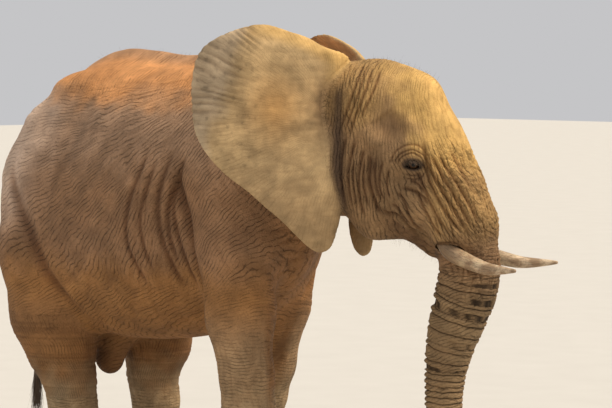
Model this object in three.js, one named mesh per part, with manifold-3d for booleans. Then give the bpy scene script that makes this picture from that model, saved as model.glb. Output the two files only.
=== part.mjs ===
// African elephant: a sub-adult bull in mid-stride, as a still life-size museum model.
// Millimetres, +X towards the head, +Y to the animal's left, +Z up. The soles stand on Z = 0.
// The flesh is one smooth distance field, meshed region by region and parted with thin plane cuts.
// Ears, tusks, eyes and toenails are separate solids that sit in sockets cut out of the flesh.
import * as THREE from 'three';
import Module from 'manifold-3d';
import { mergeVertices } from 'three/addons/utils/BufferGeometryUtils.js';

const wasm = await Module();
wasm.setup();

// ---------- Driving dimensions ----------
const GAP = 0.4; // clearance between neighbouring pieces
const REACH = 6000; // half-spaces are boxes this large
const SACRUM_Z = 2400; // highest point of the back over the hips
const WITHERS_Z = 2450;
const BELLY_Z = 880;
const BODY_HALF_WIDTH = 600;
const LEG_SPREAD = 300; // from the midline to the middle of a foot
const SOLE_FORE = 180;
const SOLE_HIND = 165;
const HEAD_AT = new THREE.Vector3(1148, 100, 1845); // midway between the ears, at eye level
const HEAD_TURN = THREE.MathUtils.degToRad(24); // the head looks to the animal's left
const EYE = { x: 339, z: 24, radius: 31, depth: 27 }; // depth: centre below the skin
const TUSK = { rootRadius: 42, tipRadius: 9 };
const EAR = { middle: [390, 150], thickness: 36, rim: 17 };
const SIDES = [['right', -1], ['left', 1]];

// ---------- Distance fields: (x, y, z) => distance, negative inside ----------
const { sqrt, abs, hypot, max, min, sign, exp } = Math;

function roundCone([ax, ay, az, ra], [bx, by, bz, rb]) {
  const dx = bx - ax, dy = by - ay, dz = bz - az;
  const length2 = dx * dx + dy * dy + dz * dz;
  const taper = ra - rb;
  const slant2 = length2 - taper * taper;
  return (x, y, z) => {
    const px = x - ax, py = y - ay, pz = z - az;
    const along = px * dx + py * dy + pz * dz;
    const past = along - length2;
    const off2 = (px * length2 - dx * along) ** 2 + (py * length2 - dy * along) ** 2
      + (pz * length2 - dz * along) ** 2;
    const along2 = along * along * length2;
    const past2 = past * past * length2;
    const k = sign(taper) * taper * taper * off2;
    if (sign(past) * slant2 * past2 > k) return sqrt(off2 + past2) / length2 - rb;
    if (sign(along) * slant2 * along2 < k) return sqrt(off2 + along2) / length2 - ra;
    return (sqrt(off2 * slant2 / length2) + along * taper) / length2 - ra;
  };
}

function ellipsoid([cx, cy, cz], [rx, ry, rz], pitchDeg = 0) {
  const c = Math.cos(THREE.MathUtils.degToRad(pitchDeg));
  const s = Math.sin(THREE.MathUtils.degToRad(pitchDeg));
  return (x, y, z) => {
    const px = x - cx, py = y - cy, pz = z - cz;
    const lx = c * px + s * pz, lz = c * pz - s * px; // the nose of the shape turns up by the pitch
    const k0 = hypot(lx / rx, py / ry, lz / rz);
    const k1 = hypot(lx / (rx * rx), py / (ry * ry), lz / (rz * rz));
    return k1 < 1e-9 ? -min(rx, ry, rz) : k0 * (k0 - 1) / k1;
  };
}

function blend(radius, ...fields) {
  return (x, y, z) => fields.reduce((a, field) => {
    const b = field(x, y, z);
    const h = max(radius - abs(a - b), 0) / radius;
    return min(a, b) - h * h * radius / 4;
  }, 1e6);
}

function hollow(radius, body, tool) {
  return (x, y, z) => {
    const a = body(x, y, z), b = -tool(x, y, z);
    const h = max(radius - abs(a - b), 0) / radius;
    return max(a, b) + h * h * radius / 4;
  };
}

/** A limb: round cones from station to station, each [x, y, z, radius]. */
function limb(softness, ...stations) {
  return blend(softness, ...stations.slice(1).map((s, i) => roundCone(stations[i], s)));
}

const mirrored = (field) => (x, y, z) => field(x, abs(y), z);

/** Squeezes a field sideways about the plane y = middle. */
const narrowed = (share, field, middle = 0) => (x, y, z) => (
  field(x, middle + (y - middle) / share, z) * min(1, share));

function placed(field, matrix) {
  const m = matrix.clone().invert().elements;
  return (x, y, z) => field(
    m[0] * x + m[4] * y + m[8] * z + m[12],
    m[1] * x + m[5] * y + m[9] * z + m[13],
    m[2] * x + m[6] * y + m[10] * z + m[14],
  );
}

/** Smooth curve through rows of [at, value, value...]: at => values. */
function through(rows) {
  const slope = (i, k) => {
    const a = rows[max(i - 1, 0)], b = rows[min(i + 1, rows.length - 1)];
    return (b[k] - a[k]) / (b[0] - a[0]);
  };
  return (at) => {
    let i = 0;
    while (i < rows.length - 2 && at > rows[i + 1][0]) i += 1;
    const [a, b] = [rows[i], rows[i + 1]];
    const span = b[0] - a[0];
    const t = (THREE.MathUtils.clamp(at, a[0], b[0]) - a[0]) / span;
    return a.slice(1).map((_, k) => (
      (2 * t ** 3 - 3 * t * t + 1) * a[k + 1] + (t ** 3 - 2 * t * t + t) * span * slope(i, k + 1)
      + (3 * t * t - 2 * t ** 3) * b[k + 1] + (t ** 3 - t * t) * span * slope(i + 1, k + 1)));
  };
}

// ---------- The barrel of the body ----------
// Each row: x, top line, bottom line, half width.
const barrelLines = through([
  [-1200, 1800, 1560, 60],
  [-1150, 1990, 1330, 275],
  [-1040, 2180, 1160, 405],
  [-860, 2330, 990, 490],
  [-600, SACRUM_Z, BELLY_Z + 5, 548],
  [-350, 2395, BELLY_Z - 5, 585],
  [-80, 2375, BELLY_Z + 20, BODY_HALF_WIDTH],
  [180, 2390, BELLY_Z + 58, 560],
  [400, 2425, BELLY_Z + 105, 455],
  [600, WITHERS_Z, 1150, 350],
  [740, 2440, 1340, 275],
  [830, 2390, 1540, 205],
  [880, 2260, 1750, 80],
]);
const BARREL_ENDS = [-1200, 880];

function barrel(x, y, z) {
  const at = THREE.MathUtils.clamp(x, ...BARREL_ENDS);
  const [top, bottom, half] = barrelLines(at);
  const widest = bottom + 0.47 * (top - bottom);
  const rise = z > widest ? top - widest : widest - bottom;
  const power = z > widest ? 1.9 : 2.25; // the back is ridged, the belly is round
  const share = ((abs(y) / half) ** power + (abs(z - widest) / rise) ** power) ** (1 / power);
  const across = share < 1e-6 ? -min(half, rise) : hypot(y, z - widest) * (1 - 1 / share);
  return x === at ? across : hypot(max(across, 0), x - at);
}

/** Divides a field by its own slope, so that it measures distance near its surface. */
function evened(field, step = 6) {
  return (x, y, z) => {
    const d = field(x, y, z);
    const slope = hypot(field(x + step, y, z) - d, field(x, y + step, z) - d, field(x, y, z + step) - d);
    return d / max(1, slope / step);
  };
}

// ---------- Legs ----------
const foreleg = (side, at) => limb(
  60,
  [at.blade, side * 205, 1880, 215],
  [at.arm, side * 272, 1420, 194],
  [at.elbow, side * 298, 1090, 174],
  [at.forearm, side * 302, 760, 128],
  [at.wrist, side * LEG_SPREAD, 590, 128],
  [at.shank, side * LEG_SPREAD, 390, 127],
  [at.fetlock, side * LEG_SPREAD, 220, 138],
  [at.foot - 4, side * LEG_SPREAD, 95, 165],
  [at.foot, side * LEG_SPREAD, 40, SOLE_FORE + 4],
);
const FORE = [
  foreleg(-1, {
    blade: 500, arm: 590, elbow: 645, forearm: 708, wrist: 718, shank: 722, fetlock: 730, foot: 746,
  }),
  foreleg(1, {
    blade: 460, arm: 332, elbow: 270, forearm: 212, wrist: 148, shank: 84, fetlock: 44, foot: 28,
  }),
];

const hindleg = (side, at) => limb(
  60,
  [at.hip, side * 235, 1680, 305],
  [at.thigh, side * 285, 1330, 275],
  [at.knee, side * 305, 1000, 226],
  [at.shin, side * 302, 810, 176],
  [at.hock, side * LEG_SPREAD, 640, 133],
  [at.hock + 28, side * LEG_SPREAD, 490, 121],
  [at.hock + 34, side * LEG_SPREAD, 320, 117],
  [at.hock + 44, side * LEG_SPREAD, 185, 131],
  [at.hock + 62, side * LEG_SPREAD, 85, 152],
  [at.hock + 66, side * LEG_SPREAD, 40, SOLE_HIND + 4],
);
const HIND = [
  hindleg(-1, { hip: -885, thigh: -905, knee: -855, shin: -792, hock: -722 }),
  hindleg(1, { hip: -885, thigh: -865, knee: -750, shin: -705, hock: -745 }),
];

// ---------- Head, in its own frame: origin between the ears at eye level ----------
const HEAD = new THREE.Matrix4().makeRotationZ(HEAD_TURN).setPosition(HEAD_AT);

const skull = blend(
  70,
  ellipsoid([88, 0, 228], [262, 228, 298]), // cranium
  ellipsoid([250, 0, 340], [150, 172, 133]), // corner of the forehead
  roundCone([278, 0, 204, 186], [530, 0, -285, 160]), // slope from the forehead to the trunk
  roundCone([350, 0, 110, 164], [470, 0, -120, 160]), // root of the trunk, level with the eyes
);
const face = mirrored(blend(
  55,
  roundCone([30, 128, 325, 122], [215, 160, 40, 116]), // temple muscle down to the cheek bone
  ellipsoid([330, 168, 78], [112, 66, 58], -35), // brow
  roundCone([150, 150, -40, 126], [318, 118, -185, 118]), // cheek
  roundCone([420, 112, -90, 112], [500, 138, -335, 82]), // tusk sheath
  roundCone([95, 112, -190, 118], [30, 110, -20, 150]), // angle of the jaw
));
const jaw = mirrored(blend(
  40,
  roundCone([100, 72, -255, 116], [300, 34, -308, 52]),
  roundCone([290, 26, -335, 52], [366, 0, -412, 40]), // lower lip
));
const temple = mirrored(ellipsoid([228, 300, 232], [100, 78, 88], -30));
const headField = blend(45, hollow(70, blend(80, skull, face), temple), jaw);

// The trunk hangs, leans back, and its tip curls forward just clear of the floor.
const trunkLine = [
  [530, 0, -285, 160], [564, 0, -480, 140], [556, 0, -565, 138], [541, 0, -630, 137],
  [518, 0, -695, 133], [494, 0, -768, 125], [470, 0, -844, 115], [450, 0, -919, 104],
  [435, 0, -1000, 95], [427, 0, -1095, 87], [423, 0, -1200, 83], [420, 0, -1340, 76],
  [434, 0, -1480, 68], [474, 0, -1595, 61], [546, 0, -1680, 55], [636, 0, -1716, 50],
];
const trunkFingers = blend(
  14,
  roundCone([624, 0, -1697, 30], [678, 0, -1694, 15]),
  roundCone([624, 0, -1736, 28], [664, 0, -1746, 14]),
);
const nostrils = mirrored(roundCone([644, 20, -1718, 13], [704, 20, -1722, 15]));
const trunk = narrowed(1.06, hollow(8, blend(16, limb(50, ...trunkLine), trunkFingers), nostrils));
const headAndTrunk = placed(blend(60, headField, trunk), HEAD);

// ---------- Neck and sheath ----------
const neck = placed(
  narrowed(0.66, roundCone([-330, 0, 140, 425], [-70, 0, 105, 352])),
  new THREE.Matrix4().makeRotationZ(HEAD_TURN * 0.6).setPosition(HEAD_AT),
);
const sheath = narrowed(
  0.86, limb(40, [-600, 0, 965, 112], [-700, 0, 865, 104], [-748, 0, 738, 88]));

// The haunch fills the corner under the hip bone.
const haunch = mirrored(roundCone([-893, 250, 1960, 186], [-965, 285, 1767, 186]));

const flesh = evened(blend(
  60, blend(130, evened(barrel), neck, ...FORE, ...HIND, headAndTrunk), haunch, sheath));

// ---------- Meshing ----------
const CORNERS = [0, 1, 2, 3, 4, 5, 6, 7].map((c) => [c & 1, (c >> 1) & 1, c >> 2]);
const CELL_EDGES = CORNERS.flatMap((_, p) => [1, 2, 4].filter((b) => !(p & b)).map((b) => [p, p | b]));

/** One closed surface around a field's inside within a box, by a net of cells [x, y, z] in size. */
function netSurface(field, box, cell) {
  const count = box.getSize(new THREE.Vector3()).toArray().map((s, axis) => Math.ceil(s / cell[axis]) + 3);
  const [nx, ny, nz] = count;
  const line = (i, axis) => box.min.getComponent(axis) + (i - 1) * cell[axis];
  const index = (i, j, k) => (k * ny + j) * nx + i;
  const bounded = (x, y, z) => max(field(x, y, z), box.min.x - x, x - box.max.x,
    box.min.y - y, y - box.max.y, box.min.z - z, z - box.max.z);
  const cells = [];
  const value = new Float64Array(nx * ny * nz);
  for (let k = 0; k < nz; k += 1) {
    for (let j = 0; j < ny; j += 1) {
      for (let i = 0; i < nx; i += 1) {
        value[index(i, j, k)] = bounded(line(i, 0), line(j, 1), line(k, 2));
        if (i < nx - 1 && j < ny - 1 && k < nz - 1) cells.push([i, j, k]);
      }
    }
  }
  const points = [];
  const pointOf = new Map();
  for (const at of cells) {
    const [i, j, k] = at;
    const corner = CORNERS.map(([a, b, c]) => value[index(i + a, j + b, k + c)]);
    const crossed = CELL_EDGES.filter(([p, q]) => corner[p] < 0 !== corner[q] < 0);
    if (!crossed.length) continue;
    const share = [0, 1, 2].map((axis) => crossed.reduce((sum, [p, q]) => sum
      + THREE.MathUtils.lerp(CORNERS[p][axis], CORNERS[q][axis], corner[p] / (corner[p] - corner[q])), 0)
      / crossed.length);
    const low = new THREE.Vector3(line(i, 0), line(j, 1), line(k, 2));
    const p = new THREE.Vector3(...share).multiply(new THREE.Vector3(...cell)).add(low);
    settle(bounded, p, low, cell);
    pointOf.set(index(i, j, k), points.length);
    points.push(p);
  }
  const triangles = [];
  const quad = (places, flip) => {
    const [a, b, c, d] = places.map((place) => pointOf.get(index(...place)));
    const around = flip ? [a, d, c, b] : [a, b, c, d];
    const [p, q, r, t] = around.map((n) => points[n]);
    const [e, f, g, h] = around;
    triangles.push(...(p.distanceTo(r) < q.distanceTo(t) ? [e, f, g, e, g, h] : [f, g, h, f, h, e]));
  };
  for (const [i, j, k] of cells) {
    if (!(i && j && k)) continue;
    const inside = value[index(i, j, k)] < 0;
    if (inside !== value[index(i + 1, j, k)] < 0) {
      quad([[i, j - 1, k - 1], [i, j, k - 1], [i, j, k], [i, j - 1, k]], !inside);
    }
    if (inside !== value[index(i, j + 1, k)] < 0) {
      quad([[i - 1, j, k - 1], [i - 1, j, k], [i, j, k], [i, j, k - 1]], !inside);
    }
    if (inside !== value[index(i, j, k + 1)] < 0) {
      quad([[i - 1, j - 1, k], [i, j - 1, k], [i, j, k], [i - 1, j, k]], !inside);
    }
  }
  return geometryOf(points.flatMap((p) => p.toArray()), triangles);
}

/** Walks a point down the field's slope on to the surface, but not out of its cell. */
function settle(field, p, low, cell) {
  const high = low.clone().add(new THREE.Vector3(...cell));
  for (let step = 0; step < 3; step += 1) {
    const d = field(p.x, p.y, p.z);
    const slope = new THREE.Vector3(
      field(p.x + 2, p.y, p.z) - d, field(p.x, p.y + 2, p.z) - d, field(p.x, p.y, p.z + 2) - d);
    if (slope.length() < 0.6) return;
    p.addScaledVector(slope, -0.8 * d / slope.lengthSq() * 2).clamp(low, high);
  }
}

function geometryOf(points, triangles) {
  const geometry = new THREE.BufferGeometry();
  geometry.setAttribute('position', new THREE.Float32BufferAttribute(points, 3));
  geometry.setIndex(triangles);
  return geometry;
}

/** Rings of points joined into one closed skin, with a point at each end. */
function ringSkin(start, rings, end) {
  const sides = rings[0].length;
  const points = [start, ...rings.flat(), end].flatMap((p) => p.toArray());
  const triangles = [];
  const last = points.length / 3 - 1;
  for (let s = 0; s < sides; s += 1) {
    const n = (s + 1) % sides;
    triangles.push(0, 1 + n, 1 + s, last, last - sides + s, last - sides + n);
    for (let r = 0; r < rings.length - 1; r += 1) {
      const a = 1 + r * sides, b = a + sides;
      triangles.push(a + s, a + n, b + n, a + s, b + n, b + s);
    }
  }
  return geometryOf(points, triangles);
}

/** A tapering horn along a curve, radius(t) thick. */
function horn(curve, radius, steps, sides) {
  const frames = curve.computeFrenetFrames(steps, false);
  const rings = [];
  for (let i = 0; i <= steps; i += 1) {
    const middle = curve.getPointAt(i / steps);
    rings.push(Array.from({ length: sides }, (_, s) => {
      const a = 2 * Math.PI * s / sides, r = radius(i / steps);
      return middle.clone().addScaledVector(frames.normals[i], r * Math.cos(a))
        .addScaledVector(frames.binormals[i], r * Math.sin(a));
    }));
  }
  const tip = curve.getPointAt(1).addScaledVector(frames.tangents[steps], radius(1) * 0.8);
  return ringSkin(curve.getPointAt(0).addScaledVector(frames.tangents[0], -radius(0) * 0.3), rings, tip);
}

// ---------- Ears: a fan with a hollow beside the head, a rolled top edge and a bent rim ----------
// The outline in the ear's own plane: [back from the root line, up from eye level].
const EAR_OUTLINE = [
  [-14, 540], [100, 590], [245, 655], [419, 706], [565, 680], [684, 624], [750, 550], [778, 435],
  [782, 310], [768, 184], [722, 80], [633, -24], [519, -113], [345, -263], [261, -346], [186, -412],
  [134, -430], [86, -404], [56, -339], [34, -250], [22, -110], [14, 60], [8, 230], [-10, 400],
];
const earEdge = new THREE.CatmullRomCurve3(
  EAR_OUTLINE.map(([u, v]) => new THREE.Vector3(u, v, 0)), true, 'catmullrom', 0.5);

const bell = (x, width) => exp(-((x / width) ** 2));
const ramp = (x, from, to) => THREE.MathUtils.smoothstep(x, from, to);

/** Where the ear's middle surface lies: outwards from the plane of the fan. */
function earBulge(u, v, { drape, tuck, curl }) {
  const hollowAtRoot = -55 * bell(u - 115, 80) * bell(v - 330, 170);
  const bentRim = -80 * ramp(u + 0.35 * v, 640, 980) - 60 * ramp(v - 0.12 * u, 540, 700);
  const ripple = 14 * Math.sin(u / 115 + v / 210) * ramp(u, 150, 450);
  const lobeIn = -tuck * ramp(-v, 60, 440) * ramp(320 - u, 0, 300);
  const rootIn = -34 * (1 - ramp(u, -20, 90)) - curl * ramp(v, 260, 540) * (1 - ramp(u, 0, 300));
  const overShoulder = drape * max(0, u - 80) * (1 - ramp(v, 420, 760)) * ramp(v, -420, -160);
  return hollowAtRoot + bentRim + ripple + lobeIn + rootIn + overShoulder;
}

function earThickness(u, v, ring) {
  const roll = 46 * bell(u - 60, 180) * ramp(v - 0.45 * u, 340, 520);
  return EAR.rim + (EAR.thickness - EAR.rim) * (1 - ring ** 3) + roll * (1 - 0.6 * ring ** 4);
}

/**
 * An ear. spread: angle of the fan from the neck; drop: how far it hangs; drape: bend over the body;
 * tuck: how far the lobe turns in; curl: how far the top of the root turns in.
 */
function ear(side, pose) {
  const spokes = 24, ringShares = [0.3, 0.6, 0.85, 1];
  const place = HEAD.clone()
    .multiply(new THREE.Matrix4().makeTranslation(0, side * 212, -pose.drop))
    .multiply(new THREE.Matrix4().makeRotationZ(-side * THREE.MathUtils.degToRad(pose.spread)));
  const [mu, mv] = EAR.middle;
  const spot = (u, v, offset) => new THREE.Vector3(-u, side * (earBulge(u, v, pose) + offset), v)
    .applyMatrix4(place);
  const ringAt = (share, face) => Array.from({ length: spokes }, (_, s) => {
    const edge = earEdge.getPointAt(side > 0 ? s / spokes : 1 - s / spokes);
    const u = mu + share * (edge.x - mu), v = mv + share * (edge.y - mv);
    return spot(u, v, face * 0.5 * earThickness(u, v, share));
  });
  const front = ringShares.map((share) => ringAt(share, 1));
  const back = ringShares.map((share) => ringAt(share, -1)).reverse();
  const depth = 0.5 * EAR.thickness;
  return ringSkin(spot(mu, mv, depth), [...front, ...back], spot(mu, mv, -depth));
}

// ---------- Tusks, eyes, toenails ----------
const tuskCurve = (side) => new THREE.CatmullRomCurve3([
  [400, 116, -230], [455, 136, -325], [515, 165, -408], [596, 192, -446],
  [675, 222, -470], [760, 258, -486], [905, 318, -486],
].map(([x, y, z]) => new THREE.Vector3(x, side * y, z)));
const tuskRadius = (t) => TUSK.tipRadius + (TUSK.rootRadius - TUSK.tipRadius) * (1 - t ** 3.2);
const tusk = (side) => horn(tuskCurve(side), tuskRadius, 12, 9).applyMatrix4(HEAD);

/** How far from the midline a head's skin is at a place on its profile. */
function skinAt(x, z) {
  const here = placed(flesh, HEAD.clone().invert());
  let y = 420;
  while (here(x, y, z) > 1) y -= here(x, y, z) * 0.7;
  return y;
}
EYE.y = skinAt(EYE.x, EYE.z) - EYE.depth;
const eye = (side) => new THREE.SphereGeometry(EYE.radius, 10, 6).rotateX(Math.PI / 2)
  .translate(EYE.x, side * EYE.y, EYE.z).applyMatrix4(HEAD);

const TAIL_LINE = [
  [-1080, 0, 2030], [-1185, -4, 1905], [-1238, -26, 1680], [-1238, -68, 1350], [-1232, -100, 1050],
  [-1225, -122, 800], [-1222, -132, 660],
];
const tailCurve = new THREE.CatmullRomCurve3(TAIL_LINE.map((p) => new THREE.Vector3(...p)));
const tailRadius = (t) => 20 + 66 * (1 - t) ** 3;
const tuftCurve = new THREE.CatmullRomCurve3(
  [[-1222, -131, 684], [-1223, -136, 600], [-1226, -140, 480], [-1222, -142, 380]]
    .map((p) => new THREE.Vector3(...p)));
const tuftRadius = (t) => 12 + 40 * Math.sin(Math.PI * min(1, 0.12 + 0.8 * t)) ** 0.8;

/** A nail: a thick shield set in the front of the foot. angle is from straight ahead. */
function toenail(foot, angleDeg, width) {
  const a = THREE.MathUtils.degToRad(angleDeg);
  return new THREE.SphereGeometry(1, 6, 4).rotateX(Math.PI / 2).scale(17, width / 2, 46)
    .rotateY(-0.2).translate(foot.radius - 6, 0, 58).rotateZ(a).translate(foot.x, foot.y, 0);
}

const FEET = {
  fore_right: { x: 752, y: -LEG_SPREAD, radius: SOLE_FORE, nails: [-62, -24, 12, 46] },
  fore_left: { x: 100, y: LEG_SPREAD, radius: SOLE_FORE, nails: [-46, -12, 24, 62] },
  hind_right: { x: -664, y: -LEG_SPREAD, radius: SOLE_HIND, nails: [-48, -8, 30] },
  hind_left: { x: -686, y: LEG_SPREAD, radius: SOLE_HIND, nails: [-30, 8, 48] },
};
const NAIL_WIDTH = 84;

// ---------- Solids ----------
function solid(geometry) {
  const bare = geometry.clone();
  bare.deleteAttribute('normal');
  bare.deleteAttribute('uv');
  const merged = mergeVertices(bare, 1e-3);
  return new wasm.Manifold(new wasm.Mesh({
    numProp: 3,
    vertProperties: merged.attributes.position.array,
    triVerts: new Uint32Array(merged.index.array),
  }));
}

/** The same closed shape, larger all round by a little over the gap: the socket it sits in. */
function socket(geometry) {
  const bare = geometry.clone();
  bare.deleteAttribute('normal');
  bare.deleteAttribute('uv');
  const merged = mergeVertices(bare, 1e-3);
  merged.computeVertexNormals();
  const p = merged.attributes.position, n = merged.attributes.normal;
  for (let i = 0; i < p.count * 3; i += 1) p.array[i] += n.array[i] * GAP * 2.5;
  return solid(merged);
}

/** All space on the side of a plane that its normal points to, from half a gap beyond it. */
function beyond(point, normal, from = GAP / 2) {
  const n = new THREE.Vector3(...normal).normalize();
  const turn = new THREE.Quaternion().setFromUnitVectors(new THREE.Vector3(0, 0, 1), n);
  const middle = new THREE.Vector3(...point).addScaledVector(n, REACH + from);
  return solid(new THREE.BoxGeometry(2 * REACH, 2 * REACH, 2 * REACH).applyQuaternion(turn)
    .translate(middle.x, middle.y, middle.z));
}

/** Both sides of a plane, as [the side its normal points to, the other]. */
const split = (point, normal) => [beyond(point, normal), beyond(point, normal.map((v) => -v))];

/** A plane given in the head's frame. */
function headSplit(point, normal) {
  const p = new THREE.Vector3(...point).applyMatrix4(HEAD);
  const n = new THREE.Vector3(...normal).transformDirection(HEAD);
  return split(p.toArray(), n.toArray());
}

const largest = (made) => made.decompose().sort((a, b) => b.volume() - a.volume())[0];

// ---------- Where the flesh is parted ----------
const [above] = split([0, 0, 0], [0, 0, 1]);
const [beforeNeck, behindNeck] = headSplit([-28, 0, 60], [1, 0, -0.12]);
const [neckFront, neckBack] = split([800, 0, 1900], [1, 0.1, 0.3]);
const [chestSide, bellySide] = split([290, 0, 1700], [1, 0, -0.2]);
const [bellyFront, rumpSide] = split([-420, 0, 1700], [1, 0, 0.2]);
const [tuftBelow, tuftAbove] = split([-1222, -132, 690], [0, 0, -1]);
const SHEATH_CUT = [[-700, 0, 895], [0.25, 0, -1]];
const sheathAbove = split(...SHEATH_CUT)[1];
/** The room between the thighs that belongs to the sheath. */
const sheathRoom = (from) => beyond(...SHEATH_CUT, from)
  .intersect(beyond([0, -100, 0], [0, 1, 0], from))
  .intersect(beyond([0, 100, 0], [0, -1, 0], from));
// The mouth line, the root of the trunk and the front of the lower lip meet along one edge.
const MOUTH = [412, 0, -388];
const [jawAbove, jawBelow] = headSplit(MOUTH, [0.652, 0, 0.759]);
const [trunkRoot, trunkOff] = headSplit(MOUTH, [0, 0, 1]);
const [lipFront, lipBack] = headSplit(MOUTH, [1, 0, -0.13]);
const trunkCuts = [headSplit([500, 0, -790], [0.26, 0, 1]), headSplit([424, 0, -1230], [0, 0, 1]),
  headSplit([482, 0, -1604], [-0.75, 0, 0.6])];
const legCut = { // [the leg below, the body above]
  fore_right: split([620, -130, 985], [0, -0.5, -0.85]),
  fore_left: split([300, 130, 985], [0, 0.5, -0.85]),
  hind_right: split([-850, -125, 905], [0, -0.55, -0.83]),
  hind_left: split([-850, 125, 905], [0, 0.55, -0.83]),
};
const kneeCut = { fore: split([0, 0, 690], [0, 0, 1]), hind: split([0, 0, 620], [0, 0, 1]) };
const ankleCut = { fore: split([0, 0, 190], [0, 0, 1]), hind: split([0, 0, 175], [0, 0, 1]) };
const sideOf = { right: split([0, -60, 0], [0, -1, 0])[0], left: split([0, 60, 0], [0, 1, 0])[0] };

const boxOf = (x0, x1, y0, y1, z0, z1) => new THREE.Box3(
  new THREE.Vector3(x0, y0, z0), new THREE.Vector3(x1, y1, z1));

function headBox(x0, x1, y, z0, z1) {
  return boxOf(x0, x1, -y, y, z0, z1).applyMatrix4(HEAD);
}

/** The flesh inside every one of the regions, meshed with cells of the given size. */
function cutFlesh(box, cell, ...regions) {
  return largest(regions.reduce((made, region) => made.intersect(region),
    solid(netSurface(flesh, box, cell))));
}

// ---------- The named pieces ----------
const finish = (color, roughness) => () => new THREE.MeshStandardMaterial({ color, roughness, metalness: 0 });
const skinMaterial = finish(0x8a6f52, 0.9);
const earMaterial = finish(0x9b8a62, 0.88);
const ivoryMaterial = finish(0xd8c5a0, 0.45);
const eyeMaterial = finish(0x2a1f18, 0.12);
const nailMaterial = finish(0xa8957a, 0.6);
const hairMaterial = finish(0x1d1815, 0.6);

const model = new THREE.Group();
model.name = 'african_elephant';
const whole = [];

function add(name, piece, material) {
  const made = piece.getMesh();
  const points = new Float32Array(made.numVert * 3);
  for (let i = 0; i < made.numVert; i += 1) {
    points.set(made.vertProperties.subarray(i * made.numProp, i * made.numProp + 3), i * 3);
  }
  const mesh = new THREE.Mesh(geometryOf(points, new THREE.BufferAttribute(made.triVerts, 1)), material);
  mesh.geometry.computeVertexNormals();
  mesh.name = name;
  model.add(mesh);
  whole.push(mesh);
}

const earPose = {
  right: { spread: 33, drop: 0, drape: 0, tuck: 55, curl: 70 },
  left: { spread: 29, drop: 48, drape: 0.36, tuck: 0, curl: 40 },
};
const sockets = {};
for (const [name, side] of SIDES) {
  const fan = ear(side, earPose[name]), ivory = tusk(side), ball = eye(side);
  sockets[`ear_${name}`] = socket(fan);
  sockets[`tusk_${name}`] = socket(ivory);
  sockets[`eye_${name}`] = socket(ball);
  add(`ear_${name}`, solid(fan), earMaterial());
  add(`tusk_${name}`, solid(ivory), ivoryMaterial());
  add(`eye_${name}`, solid(ball), eyeMaterial());
}
const tail = horn(tailCurve, tailRadius, 11, 7);
sockets.tail = socket(tail);
const without = (piece, ...names) => largest(names.reduce((made, n) => made.subtract(sockets[n]), piece));
const EARS = ['ear_right', 'ear_left'], TUSKS = ['tusk_right', 'tusk_left'];

// Head and trunk.
const head = cutFlesh(
  headBox(-190, 760, 420, -440, 600), [84, 84, 84], beforeNeck, trunkRoot, jawAbove);
add('head', without(head, ...EARS, ...TUSKS, 'eye_right', 'eye_left'), skinMaterial());
const lowerJaw = cutFlesh(
  headBox(-190, 480, 330, -520, 160), [80, 76, 74], beforeNeck, lipBack, jawBelow);
add('lower_jaw', without(lowerJaw, ...EARS, ...TUSKS), skinMaterial());
const trunkRegions = [
  ['trunk_upper', headBox(340, 800, 230, -940, -330), [80, 80, 104], lipFront, trunkOff, trunkCuts[0][0]],
  ['trunk_middle', headBox(280, 700, 200, -1300, -680), [66, 64, 104], trunkCuts[0][1], trunkCuts[1][0]],
  ['trunk_lower', headBox(280, 700, 160, -1700, -1170), [54, 54, 82], trunkCuts[1][1], trunkCuts[2][0]],
  ['trunk_tip', headBox(400, 760, 130, -1800, -1500), [38, 36, 34], trunkCuts[1][1], trunkCuts[2][1]],
];
for (const [name, box, cell, ...regions] of trunkRegions) {
  add(name, without(cutFlesh(box, cell, ...regions), ...TUSKS), skinMaterial());
}

// Neck and body.
const nape = cutFlesh(boxOf(640, 1360, -480, 560, 1180, 2560), [145, 145, 145], behindNeck, neckFront);
add('neck', without(nape, ...EARS), skinMaterial());
const LEGS = Object.keys(FEET);
const aboveLegs = (...names) => names.map((n) => legCut[n][1]);
const chest = cutFlesh(boxOf(-60, 1120, -700, 700, 820, 2560), [160, 145, 150], chestSide, neckBack,
  ...aboveLegs('fore_right', 'fore_left'));
add('chest', without(chest, ...EARS), skinMaterial());
const belly = cutFlesh(boxOf(-760, 640, -780, 780, 780, 2520), [150, 130, 130], bellySide, bellyFront);
add('barrel', belly, skinMaterial());
const rump = cutFlesh(boxOf(-1320, -160, -740, 740, 780, 2520), [155, 145, 148], rumpSide, sheathAbove,
  ...aboveLegs('hind_right', 'hind_left'));
add('rump', without(rump, 'tail'), skinMaterial());

// Legs, feet and nails.
for (const name of LEGS) {
  const [end, side] = name.split('_');
  const foot = FEET[name];
  const out = side === 'right' ? -1 : 1;
  const [y0, y1] = [min(out * 40, out * 680), max(out * 40, out * 680)];
  const lengthwise = end === 'fore' ? chestSide : rumpSide;
  const upper = boxOf(foot.x - 460, foot.x + 460, y0, y1, 560, 1500);
  const thigh = cutFlesh(upper, [106, 106, 150], lengthwise, sideOf[side], legCut[name][0], kneeCut[end][0]);
  add(`leg_${name}_upper`, end === 'hind' ? largest(thigh.subtract(sheathRoom(-GAP / 2))) : thigh,
    skinMaterial());
  const low = (z0, z1) => boxOf(foot.x - 320, foot.x + 320, y0, y1, z0, z1);
  add(`leg_${name}_lower`, cutFlesh(low(100, 800), [88, 88, 140], sideOf[side], kneeCut[end][1],
    ankleCut[end][0]), skinMaterial());
  const nails = foot.nails.map((angle) => toenail(foot, angle, NAIL_WIDTH));
  const pad = cutFlesh(low(-90, 300), [84, 84, 75], sideOf[side], ankleCut[end][1], above);
  add(`foot_${name}`, nails.reduce((made, nail) => made.subtract(socket(nail)), pad), skinMaterial());
  nails.forEach((nail, i) => add(`nail_${name}_${i + 1}`, solid(nail), nailMaterial()));
}

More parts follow.
